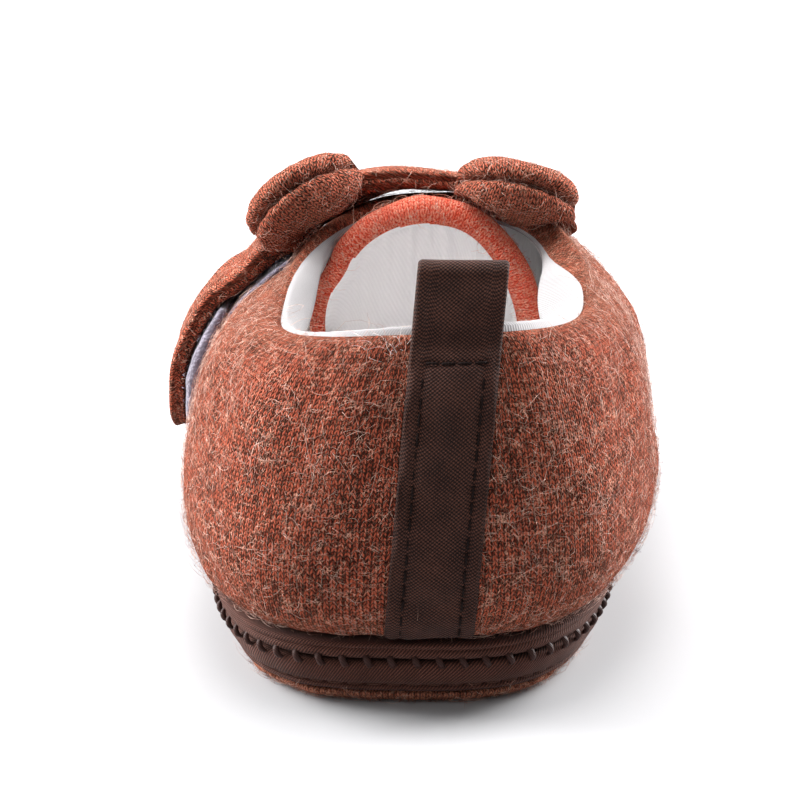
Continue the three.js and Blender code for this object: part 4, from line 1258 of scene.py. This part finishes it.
box_top = swell(along_tab, leg_end, 0.42)[:, None] * (abs(across_tab) < line_at + 0.3)[None, :]
puff = 0.2 * swell(across_tab, 0, 2.6)[None, :] * sewn[:, None]
rumple = 0.2 * soft_noise(tab_grid * np.array([1, 1, 0.8]), 4.5, 91) * (sewn * 0.7 + 0.3)[:, None]
outer = -0.3 * np.clip(lines + box_top, 0, 1) + puff + rumple
half = np.full(tab_grid.shape[:2], tab_half)
tab_normal = unit(np.cross(np.gradient(tab_grid, axis=0), np.gradient(tab_grid, axis=1)))
facing_out = np.sign((tab_normal[40, 12] * np.array([0, -1, 0])).sum())
tab_reliefs = (None, outer) if facing_out > 0 else (outer, None)
tab_face = pad_round(tab_grid, half, *tab_reliefs, end_turns=4, edge_turns=5)
canvas = woven_cloth(
    "dark_canvas", (0.009, 0.0031, 0.0023), (0.115, 0.044, 0.029), (0.58, 0.5), False, 0.00008)
tab = lay_cloth("heel_pull_tab", tab_face, even_uv(tab_face), [canvas])
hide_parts("heel_tab")
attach(tab, "root")

spots, alongs, facings = [], [], []
tab_out = tab_normal * facing_out


def tab_stitch(length_up, x, lengthwise):
    """One stitch on the tape's outer side, x from its middle line."""
    r = int(np.interp(length_up, along_tab, np.arange(len(along_tab))))
    c = (x / ((tab_width - tab_thick) / 2) + 1) * 12
    a, b = int(c), c - int(c)
    spots.append(mix(tab_grid[r, a], tab_grid[r, a + 1], b) + tab_out[r, a] * (tab_half - 0.16))
    way_up, way_across = tab_grid[r + 1, a] - tab_grid[r - 1, a], tab_grid[r, a + 1] - tab_grid[r, a]
    alongs.append(way_up if lengthwise else way_across)
    facings.append(tab_out[r, a])


for length_up in np.arange(1.2, leg_end - 0.6, 2.25):
    tab_stitch(length_up, -line_at, True)
    tab_stitch(length_up, line_at, True)
for x in np.arange(-line_at + 1.0, line_at, 2.05):
    tab_stitch(leg_end, x, False)
tab_thread = sewing_thread("tab_thread", (0.005, 0.0022, 0.0018), 0.08)
tape_stitch = one_stitch(1.7, 0.34, 0.12)
sew("tab_stitches", tape_stitch, np.array(spots), np.array(alongs), np.array(facings), tab_thread)


# Fuzz on the smaller pieces: the same loose fibres on the ears, the strap, the tongue's roll, the
# sole pad's edge and the two tapes, and a few stray hairs on the collar beside the heel tab.
def outward_normals(face):
    """The way a closed piece looks at each point, turned away from its middle."""
    across = np.gradient(face, axis=1)
    along = np.gradient(face, axis=0)
    normals = unit(np.cross(along, across))
    from_centre = face - face.reshape(-1, 3).mean(axis=0)
    return normals * np.sign((normals * from_centre).sum(axis=-1).mean())


def fuzz_over(name, face, curls, stands, weight=None, pale=pale_fibre, dark=brown_fuzz, reach=1.0):
    """Long curly hairs and short standing fuzz on a piece."""
    facing_all = outward_normals(face)
    spot, facing, rightward = scatter_on(face, facing_all, curls, rng, weight)
    length = np.minimum(rng.gamma(3.0, 0.9, curls) + 0.8, 4.2) * reach
    lift = rng.uniform(0.1, 0.6, curls)
    long_ones = curly_paths(spot, facing, rightward, length, lift, 6, 0.5, rng, bend=9.0)
    spin_fibres(name + "_fibres", long_ones, rng.uniform(0.018, 0.032, curls), pale)
    spot, facing, rightward = scatter_on(face, facing_all, stands, rng, weight)
    short_ones = standing_paths(spot, facing, rng.uniform(0.4, 1.1, stands) * reach, 4, rng)
    spin_fibres(name + "_fuzz", short_ones, rng.uniform(0.016, 0.026, stands), dark)


fuzz_over("outer_ear", outer_ear, 260, 900)
fuzz_over("inner_ear", inner_ear, 260, 900)
fuzz_over("strap", strap_face, 700, 2400)
red_pale = fibre_yarn("red_pale_fibre", (0.60, 0.16, 0.09), (0.90, 0.62, 0.50))
red_fuzz = fibre_yarn("red_fuzz", (0.42, 0.05, 0.02), (0.80, 0.26, 0.15))
red_share = np.zeros(tongue_face.shape[:2])
red_share[:, :lining_start] = 1
for c, edge_row in enumerate(red_edge):
    red_share[:edge_row, lining_start + c] = 1
fuzz_over("tongue", tongue_face, 420, 1500, red_share, red_pale, red_fuzz)
stray = fibre_yarn("stray_hair", (0.80, 0.74, 0.70), (0.95, 0.92, 0.90))
beside_tab = swell(knit_face[..., 0], -2.5, 3.0) * (knit_face[..., 1] < -45) * (knit_face[..., 2] > 47.5)
spot, facing, rightward = scatter_on(knit_face, knit_normal, 16, rng, beside_tab)
facing = unit(facing + np.array([0, 0, 1.0]))
long_hairs = standing_paths(spot, facing, rng.uniform(1.6, 3.6, 16), 8, rng)
spin_fibres("stray_hairs", long_hairs, np.full(16, 0.022), stray)
pad_edge = np.zeros(pad_face.shape[:2])
pad_edge[7:13] = 1
fuzz_over("pad", pad_face, 700, 2600, pad_edge)
tape_fuzz = fibre_yarn("tape_fuzz", (0.36, 0.32, 0.44), (0.78, 0.74, 0.86))
fuzz_over("loop_tape", loop_face, 500, 1500, None, tape_fuzz, tape_fuzz, 0.45)
fuzz_over("hook_tape", hook_face, 300, 900, None, tape_fuzz, tape_fuzz, 0.35)
